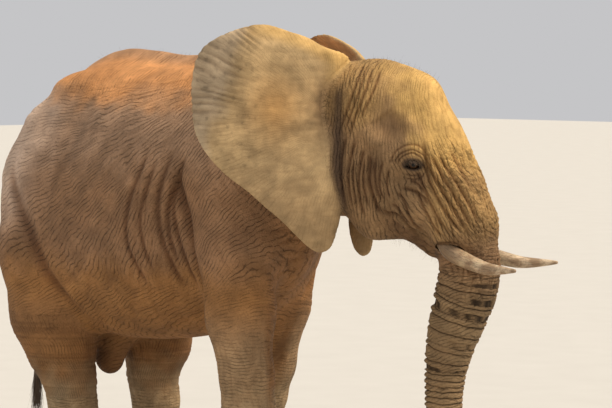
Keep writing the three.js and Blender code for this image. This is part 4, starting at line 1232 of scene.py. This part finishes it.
def even_lines(nodes, chart, per_metre, swing, pace=None):
    """0 in swaying lines along a chart, to 1 between them; pace keeps a fan's lines as close."""
    across = nodes.part_of(chart, 0)

    def lines(frequency):
        wave = nodes.maths("SINE", nodes.maths("MULTIPLY_ADD", across, math.pi * frequency, swing))
        return nodes.remap(nodes.maths("ABSOLUTE", wave), 0.0, 0.62)

    even = lines(per_metre)
    if pace:
        even = nodes.between(nodes.remap(pace, 0.25, 0.75), even, lines(per_metre / 2))
        even = nodes.between(nodes.remap(pace, -0.75, -0.25), lines(per_metre * 2), even)
    return even


def skin_material():
    nodes = Nodes("elephant_hide")
    share, rings = nodes.read("share"), nodes.read("rings")
    on_head, on_limb, depth = (nodes.part_of(share, axis) for axis in range(3))
    turns, on_trunk, pace = (nodes.part_of(rings, axis) for axis in range(3))
    swing = nodes.times(nodes.noise(nodes.place(), 8.0, 3.0), 11.0)
    body_lines = even_lines(nodes, nodes.read("body_chart"), LINES_PER_METRE["body"], swing, pace)
    head_lines = even_lines(nodes, nodes.read("head_chart"), LINES_PER_METRE["head"], swing)
    limb_lines = even_lines(nodes, nodes.read("limb_chart"), LINES_PER_METRE["limb"], swing)
    even = nodes.between(on_limb, nodes.between(on_head, body_lines, head_lines), limb_lines)
    strength = nodes.remap(nodes.noise(nodes.place(), 15.0, 3.0), 0.36, 0.6, 0.3, 1.0)
    crossing = nodes.noise(nodes.place(), 36.0, 1.5)
    crossing = nodes.from_middle(crossing, 0.06)
    edge = nodes.add("TexVoronoi", {"Vector": nodes.place(), "Scale": 64.0, "Randomness": 1.0},
                     feature="DISTANCE_TO_EDGE")
    height = nodes.times(nodes.between(strength, 1.0, even), nodes.between(0.3, 1.0, crossing))
    height = nodes.maths("MULTIPLY_ADD", nodes.remap(edge, 0.0, 0.16), 0.2, nodes.times(height, 0.8))
    ring = nodes.maths("ABSOLUTE", nodes.maths("SINE", nodes.times(turns, math.pi)))
    ring = nodes.between(on_trunk, 1.0, nodes.remap(ring, 0.0, 0.36))
    height = nodes.times(height, nodes.between(0.6, 1.0, ring))
    grit = nodes.noise(nodes.place(), 240.0, 3.0, 0.6)
    dust = nodes.noise(nodes.place(), 7.0, 5.0, 0.62)
    relief = nodes.maths("MULTIPLY_ADD", grit, 0.22, height)
    shade = nodes.remap(height, 0.0, 1.0, 0.45, 1.12)
    tone = nodes.times(nodes.between(depth, 1.0, shade), nodes.remap(dust, 0.3, 0.7, 0.8, 1.18))
    # painted shade in the valleys between the trunk's rings
    tone = nodes.times(tone, nodes.between(0.62, 1.0, ring))
    tone = nodes.times(tone, nodes.remap(grit, 0.3, 0.7, 0.93, 1.07))
    grey = nodes.add("CombineColor", {0: tone, 1: tone, 2: tone})
    return nodes.finish(
        Base_Color=nodes.blend(1.0, nodes.read("hide", 0), grey, "MULTIPLY"),
        Roughness=nodes.remap(relief, 0.2, 1.2, 0.96, 0.8),
        Normal=nodes.bump(nodes.times(relief, depth), 0.8, 0.006),
        Specular_IOR_Level=0.3)


def eye_material():
    nodes = Nodes("wet_eye")
    angle = nodes.part_of(nodes.read("gaze"), 0)
    fibres = nodes.noise(nodes.read("spokes"), 1.0, 3.0, 0.6)
    iris = nodes.blend(fibres, (0.012, 0.007, 0.004, 1), (0.085, 0.04, 0.016, 1))
    edge = nodes.blend(nodes.remap(angle, 0.7, 0.8), iris, (0.01, 0.007, 0.006, 1))
    white = nodes.blend(nodes.remap(angle, 0.95, 1.3), edge, (0.10, 0.045, 0.03, 1))
    colour = nodes.blend(nodes.remap(angle, 0.27, 0.32), (0.002, 0.002, 0.002, 1), white)
    grain = nodes.noise(nodes.place(), 300.0, 2.0)
    return nodes.finish(
        Base_Color=colour, Roughness=nodes.remap(grain, 0.3, 0.7, 0.07, 0.12),
        Normal=nodes.bump(grain, 0.05, 0.0005), Coat_Weight=0.12, Coat_Roughness=0.03,
        Specular_IOR_Level=0.16)


def ivory_material():
    nodes = Nodes("worn_ivory")
    along = nodes.part_of(nodes.read("chart"), 0)
    grain = nodes.noise(nodes.scaled(nodes.read("chart"), (5, 34, 34)), 1.0, 5.0, 0.62)
    cracks = nodes.from_middle(grain, 0.035)
    stains = nodes.noise(nodes.place(), 16.0, 4.0, 0.6)
    clean = nodes.blend(nodes.remap(along, 0.45, 0.95), (0.50, 0.36, 0.21, 1), (0.72, 0.56, 0.38, 1))
    stained = nodes.blend(nodes.remap(stains, 0.42, 0.62), (0.33, 0.215, 0.12, 1), clean)
    rooted = nodes.blend(nodes.remap(along, 0.3, 0.5), (0.22, 0.14, 0.075, 1), stained)
    cracked = nodes.blend(cracks, (0.10, 0.055, 0.028, 1), rooted)
    return nodes.finish(
        Base_Color=cracked, Roughness=nodes.remap(stains, 0.3, 0.7, 0.62, 0.4),
        Normal=nodes.bump(cracks, 0.5, 0.002), Subsurface_Weight=0.06, Subsurface_Scale=0.01)


def nail_material():
    nodes = Nodes("toenail_horn")
    bands = nodes.noise(nodes.place((14, 14, 160)), 1.0, 3.0, 0.6)
    wear = nodes.noise(nodes.place(), 45.0, 4.0, 0.6)
    colour = nodes.blend(bands, (0.22, 0.15, 0.09, 1), (0.42, 0.32, 0.21, 1))
    colour = nodes.blend(nodes.remap(wear, 0.5, 0.7), colour, (0.16, 0.10, 0.06, 1))
    return nodes.finish(Base_Color=colour, Roughness=nodes.remap(wear, 0.3, 0.7, 0.55, 0.8),
                        Normal=nodes.bump(bands, 0.4, 0.003))


def hair_material():
    nodes = Nodes("black_hair")
    tint = nodes.noise(nodes.place((40, 40, 9)), 1.0, 3.0, 0.6)
    return nodes.finish(
        Base_Color=nodes.blend(tint, (0.06, 0.038, 0.023, 1), (0.22, 0.15, 0.09, 1)),
        Roughness=nodes.remap(tint, 0.3, 0.7, 0.38, 0.6), Normal=nodes.bump(tint, 0.2, 0.0005))


# ---------- Meshes ----------
def mesh_object(name, points_mm, material, *face_groups):
    """A smooth-shaded mesh from millimetres of the sculpt, put into the frame in metres."""
    mesh = bpy.data.meshes.new(name)
    points = ((points_mm + SHIFT) * MM).astype(np.float32)
    mesh.vertices.add(len(points))
    mesh.vertices.foreach_set("co", points.ravel())
    groups = [np.asarray(group, np.int32) for group in face_groups if len(group)]
    corners = np.concatenate([group.ravel() for group in groups])
    sizes = np.concatenate([np.full(len(group), group.shape[1]) for group in groups])
    mesh.loops.add(len(corners))
    mesh.loops.foreach_set("vertex_index", corners)
    mesh.polygons.add(len(sizes))
    mesh.polygons.foreach_set("loop_start", (np.cumsum(sizes) - sizes).astype(np.int32))
    mesh.update(calc_edges=True)
    mesh.shade_smooth()
    mesh.materials.append(material)
    made = bpy.data.objects.new(name, mesh)
    bpy.context.scene.collection.objects.link(made)
    return made


def store(made, name, values, kind="FLOAT_VECTOR"):
    key = "color" if kind == "FLOAT_COLOR" else "vector"
    layer = made.data.attributes.new(name, kind, "POINT")
    layer.data.foreach_set(key, np.asarray(values, np.float32).ravel())


def tube(line, radii, sides):
    """Points, four-sided faces, end caps and (share along, angle) of a tube along a line."""
    line, radii = np.asarray(line, float), np.asarray(radii, float)
    ahead = np.gradient(line, axis=0)
    ahead /= np.linalg.norm(ahead, axis=1)[:, None]
    side = np.cross(ahead, (0.31, 0.2, 0.93) if abs(ahead[0, 2]) < 0.9 else (0.9, 0.3, 0.1))
    side /= np.linalg.norm(side, axis=1)[:, None]
    other = np.cross(ahead, side)
    angle = np.arange(sides) * 2 * math.pi / sides
    across, up = np.cos(angle)[None, :, None], np.sin(angle)[None, :, None]
    wheel = across * side[:, None] + up * other[:, None]
    points = (line[:, None] + radii[:, None, None] * wheel).reshape(-1, 3)
    rows, count = len(line), len(points)
    a = np.arange(sides)
    b = (a + 1) % sides
    band = np.stack([a, b, b + sides, a + sides], 1)
    quads = np.concatenate([band + sides * row for row in range(rows - 1)])
    last = sides * (rows - 1)
    caps = np.concatenate([np.stack([b, a, a * 0 + count], 1),
                           np.stack([a + last, b + last, a * 0 + count + 1], 1)])
    points = np.vstack([points, line[0], line[-1]])
    share = np.repeat(np.linspace(0, 1, rows), sides)
    chart = np.stack([np.append(share, (0, 1)), np.append(np.tile(angle, rows), (0, 0))], 1)
    return points, quads, caps, chart


def joined_tubes(tubes):
    """Many tubes as one set of points, quads and caps."""
    points, quads, caps, begun = [], [], [], 0
    for some, four, three, _ in tubes:
        points.append(some)
        quads.append(four + begun)
        caps.append(three + begun)
        begun += len(some)
    return np.vstack(points), np.vstack(quads), np.vstack(caps)


def place_piece(made, nodes):
    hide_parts(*nodes)
    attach(made, "root")


CELL = 8.5
HEAD_CELL = 0.72 * CELL
EYE_CELL = 0.5 * CELL


def make_skin():
    eye_high = HEAD_AT[2] + EYE["z"]
    lines = [
        grid_line(-1320, 1900, CELL, (1180, 1340, HEAD_CELL), (1340, 1600, EYE_CELL),
                  (1600, 1900, HEAD_CELL)),
        grid_line(-800, 760, CELL, (-20, 130, HEAD_CELL), (350, 480, HEAD_CELL)),
        grid_line(-3 * CELL, 2600, CELL, (-CELL, 12, HEAD_CELL), (120, eye_high - 90, HEAD_CELL),
                  (eye_high - 90, eye_high + 90, EYE_CELL)),
    ]
    points, faces = net(skin_field, lines)
    distance, normals = slope_of(skin_field, points)
    points = points - normals * np.clip(distance, -3, 3)[:, None]
    survey = Survey(points, normals)
    height, crease_shade = pressed(survey)
    points = points + normals * height[:, None]
    points[:, 2] = np.maximum(points[:, 2], SOLE_AT)
    made = mesh_object("skin", points, skin_material(), faces)
    for name in ("body_chart", "head_chart", "limb_chart"):
        store(made, name, getattr(survey, name) * MM)
    on_head = np.maximum.reduce([survey.head, survey.ear, survey.back])
    rump = survey.body * ramp(-points[:, 0], 550, 850) * ramp(points[:, 2], 1400, 1700)
    x, _, z = survey.q.T
    smooth_brow = survey.head * ramp(z, 60, 180) * ramp(x, 60, 200)
    lids = bell(x - EYE["x"], 70) * bell(z - EYE["z"], 60) * survey.head
    depth = (1 - 0.8 * survey.ear - 0.35 * rump - 0.3 * survey.leg - 0.2 * survey.belly
             - 0.6 * smooth_brow - 0.5 * lids)
    store(made, "share", np.stack([on_head, survey.limb, depth], 1))
    store(made, "rings", survey.rings)
    colours = np.ones((len(points), 4))
    colours[:, :3] = hide_colour(survey, crease_shade)
    store(made, "hide", colours, "FLOAT_COLOR")
    return made


OWN_NODES = ("eye_", "tusk_", "nail_", "tail_tuft")
skin = make_skin()
place_piece(skin, [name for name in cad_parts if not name.startswith(OWN_NODES)])


def make_eyes():
    material = eye_material()
    turns = np.linspace(0.02, math.pi - 0.02, 40)
    for name, side in SIDES:
        axis = eye_out * (1, side, 1)
        look = turned((axis + 0.12 * np.array([1, 0, 0]))[None], HEAD_TURN)[0]
        look /= np.linalg.norm(look)
        middle = from_head((EYE["x"], side * EYE_Y, EYE["z"]))[0]
        line = middle + EYE["radius"] * np.cos(turns)[:, None] * look
        points, quads, caps, chart = tube(line, EYE["radius"] * np.sin(turns), 48)
        made = mesh_object(f"eyeball_{name}", points, material, quads[:, ::-1], caps[:, ::-1])
        gaze = np.append(np.repeat(turns, 48), (0, math.pi))
        store(made, "gaze", np.stack([gaze, gaze, gaze], 1))
        store(made, "spokes", np.stack([6 * np.cos(chart[:, 1]), 6 * np.sin(chart[:, 1]), 2 * gaze], 1))
        place_piece(made, [f"eye_{name}"])


def make_tusks():
    material = ivory_material()
    line, radii = tusk_shape(12)
    round_tip = np.linspace(0.3, 1.5, 6)
    ahead = (line[-1] - line[-2]) / np.linalg.norm(line[-1] - line[-2])
    line = np.vstack([line, line[-1] + TUSK["tip"] * np.sin(round_tip)[:, None] * ahead])
    radii = np.append(radii, TUSK["tip"] * np.cos(round_tip))
    for name, side in SIDES:
        points, quads, caps, chart = tube(from_head(line * (1, side, 1)), radii, 40)
        made = mesh_object(f"ivory_{name}", points, material, quads, caps)
        angle = chart[:, 1]
        store(made, "chart", np.stack([chart[:, 0], 0.3 * np.cos(angle), 0.3 * np.sin(angle)], 1))
        place_piece(made, [f"tusk_{name}"])


def make_nails():
    turns = np.linspace(0.03, math.pi - 0.03, 22)
    shells = []
    for _, middle, heading in nail_spots():
        line = np.stack([0 * turns, 0 * turns, np.cos(turns)], 1)
        points, quads, caps, chart = tube(line, np.sin(turns), 26)
        points = turned(tilted(points * NAIL_SIZE, NAIL_TILT), heading) + middle
        shells.append((points, quads[:, ::-1], caps[:, ::-1], chart))
    points, quads, caps = joined_tubes(shells)
    made = mesh_object("toenails", points, nail_material(), quads, caps)
    place_piece(made, [name for name, _, _ in nail_spots()])


def hair(root, ahead, length, thick, droop, bend, steps=6):
    """One hair as a thin three-sided tube that droops and bends on its way."""
    t = np.linspace(0, 1, steps)[:, None]
    line = root + length * (t * ahead + t ** 2 * (droop * np.array([0, 0, -1]) + bend))
    return tube(line, thick * (1 - 0.8 * t[:, 0]), 3)


def make_hairs(name, hairs, spots, material, nodes=()):
    """Hairs as one mesh, each with its own small patch of the bake map at its root's place."""
    points, quads, caps = joined_tubes(hairs)
    made = mesh_object(name, points, material, quads, caps)
    counts = [len(some) for some, _, _, _ in hairs]
    owner = np.repeat(np.arange(len(hairs)), counts)
    charts = np.concatenate([chart for _, _, _, chart in hairs])
    patch = np.asarray(spots)[owner] + 0.003 * (charts * (1, 1 / 6.3) - 0.5)
    corners = np.empty(len(made.data.loops), np.int32)
    made.data.loops.foreach_get("vertex_index", corners)
    layer = made.data.uv_layers.new(name="OFBake")
    layer.data.foreach_set("uv", patch[corners].astype(np.float32).ravel())
    place_piece(made, nodes)
    return made


def make_tuft(material):
    """Wiry hairs down both edges of the tail's end."""
    line = smooth_line([(-1222, -132, 690), (-1221, -137, 560), (-1224, -145, 430)], 8)
    hairs, spots = [], []
    for _ in range(420):
        share = CHANCE.random() ** 1.2 * 0.55
        turn = CHANCE.uniform(0, 2 * math.pi)
        centre = line[int(share * (len(line) - 1))]
        outward = np.array([math.cos(turn), math.sin(turn), 0])
        bend = CHANCE.normal(0, 0.04, 3) * (1, 1, 0)
        spread = outward * CHANCE.uniform(0.02, 0.12)
        length = CHANCE.uniform(110, 250) * (1 - 0.35 * share)
        root = centre + outward * 13 * (1 - share)
        hairs.append(hair(root, spread + (0, 0, -1), length, CHANCE.uniform(0.9, 1.7), 0.05, bend, 8))
        spots.append((0.05 + 0.9 * turn / (2 * math.pi), 0.1 + 0.8 * share))
    core = tube(line[:11], np.linspace(21, 9, 11), 16)
    hairs.append(core)
    spots.append((0.5, 0.97))
    return make_hairs("tail_hairs", hairs, spots, material, ["tail_tuft"])


def make_lashes(material):
    """Lashes along both upper lids, and sparse bristles on the crown, the chin and the back."""
    hairs, spots = [], []
    for side in (-1, 1):
        flip = np.array([1, side, 1])
        for share in np.linspace(-0.9, 0.95, 44):
            ahead = LIDS["width"] * share
            up = LIDS["rise"] * (1 - share ** 2) ** LIDS["arch"] - LIDS["corner"] + 2
            out = math.sqrt(max(41 ** 2 - ahead ** 2 - up ** 2, 4))
            root = (EYE["x"], EYE_Y, EYE["z"]) + ahead * eye_ahead + up * eye_up + out * eye_out
            lead = eye_out + 0.35 * share * eye_ahead - 0.25 * eye_up + CHANCE.normal(0, 0.08, 3)
            root, tip = from_head(np.array([root, root + lead]) * flip)
            hairs.append(hair(root, tip - root, CHANCE.uniform(18, 30), 0.7, 0.35, np.zeros(3)))
            spots.append((0.5 + 0.2 * side + 0.1 * share, 0.5))
    points = np.empty(len(skin.data.vertices) * 3, np.float32)
    slopes = np.empty(len(skin.data.vertices) * 3, np.float32)
    skin.data.vertices.foreach_get("co", points)
    skin.data.vertices.foreach_get("normal", slopes)
    points, slopes = points.reshape(-1, 3) / MM - SHIFT, slopes.reshape(-1, 3)
    x, _, z = to_head(points).T
    crown = ramp(z, 380, 480) * (x > 0)
    chin = (z < -330) * (z > -480) * (x > 180) * (x < 400) * (slopes[:, 2] < 0)
    x, y, z = points.T
    spine = (slopes[:, 2] > 0.8) * (np.abs(y) < 150) * (x < 700) * (z > 2150)
    chances = crown + chin + 0.6 * spine
    picked = CHANCE.choice(len(points), 500, False, chances / chances.sum())
    for root, slope in zip(points[picked], slopes[picked]):
        lead = slope + CHANCE.normal(0, 0.3, 3)
        hairs.append(hair(root - 2 * slope, lead, CHANCE.uniform(14, 34), 0.45, 0.2, np.zeros(3), 4))
        spots.append((0.5 + math.atan2(root[1], root[2] - 1500) / 7, 0.05 + (root[0] + 1300) / 3600))
    return make_hairs("bristles", hairs, spots, material)


make_eyes()
make_tusks()
make_nails()
black_hair = hair_material()
make_tuft(black_hair)
make_lashes(black_hair)


# ---------- Camera, light and floor ----------
TARGET = Vector(((820 + SHIFT[0]) * MM, SHIFT[1] * MM, 1640 * MM))
VIEW_TURN, VIEW_RISE, VIEW_DISTANCE = math.radians(47), math.radians(3), 16.0
FOCAL_PIXELS, FRAME_WIDTH, SENSOR = 3150, 612, 36


def aim(made, place, target):
    made.location = place
    made.rotation_euler = (target - place).to_track_quat("-Z", "Y").to_euler()


away = Vector((math.sin(VIEW_TURN) * math.cos(VIEW_RISE),
               -math.cos(VIEW_TURN) * math.cos(VIEW_RISE), math.sin(VIEW_RISE)))
lens = bpy.data.cameras.new("camera")
lens.sensor_width = SENSOR
lens.lens = FOCAL_PIXELS / FRAME_WIDTH * SENSOR
lens.clip_end = 200
camera = bpy.data.objects.new("camera", lens)
bpy.context.scene.collection.objects.link(camera)
aim(camera, TARGET + VIEW_DISTANCE * away, TARGET)
bpy.context.scene.camera = camera
view_right = Vector((math.cos(VIEW_TURN), math.sin(VIEW_TURN), 0))


def lamp(name, right, rise, towards, spread, power, colour):
    """A soft lamp far off, its heading given along the view's right, up and towards the camera."""
    light = bpy.data.lights.new(name, "SUN")
    light.angle, light.energy, light.color = math.radians(spread), power, colour
    made = bpy.data.objects.new(name, light)
    bpy.context.scene.collection.objects.link(made)
    flat_away = Vector((away.x, away.y, 0)).normalized()
    aim(made, TARGET + right * view_right + Vector((0, 0, rise)) + towards * flat_away, TARGET)


lamp("key", right=4.2, rise=7.5, towards=-0.2, spread=24, power=3.7, colour=(1.0, 0.87, 0.68))
lamp("fill", right=-3.0, rise=2.2, towards=6.0, spread=60, power=0.55, colour=(1.0, 0.92, 0.82))
world = bpy.data.worlds.new("studio")
world.use_nodes = True
background = world.node_tree.nodes["Background"]
background.inputs["Color"].default_value = (0.90, 0.90, 0.92, 1)
background.inputs["Strength"].default_value = 0.62
bpy.context.scene.world = world
bpy.context.scene.view_settings.view_transform = "Standard"

FLOOR_HALF = 60.0
floor_mesh = bpy.data.meshes.new("floor")
corners = [(x * FLOOR_HALF, y * FLOOR_HALF, 0) for x, y in ((-1, -1), (1, -1), (1, 1), (-1, 1))]
floor_mesh.from_pydata(corners, [], [(0, 1, 2, 3)])
floor = bpy.data.objects.new("floor", floor_mesh)
bpy.context.scene.collection.objects.link(floor)
plaster = Nodes("pale_floor")
speckle = plaster.noise(plaster.add("TexCoord", output=3), 3.0, 3.0)
plaster_colour = plaster.blend(speckle, (0.50, 0.49, 0.47, 1), (0.55, 0.54, 0.52, 1))
floor_mesh.materials.append(plaster.finish(
    Base_Color=plaster_colour, Roughness=0.9, Normal=plaster.bump(speckle, 0.1, 0.01)))

bpy.context.view_layer.update()
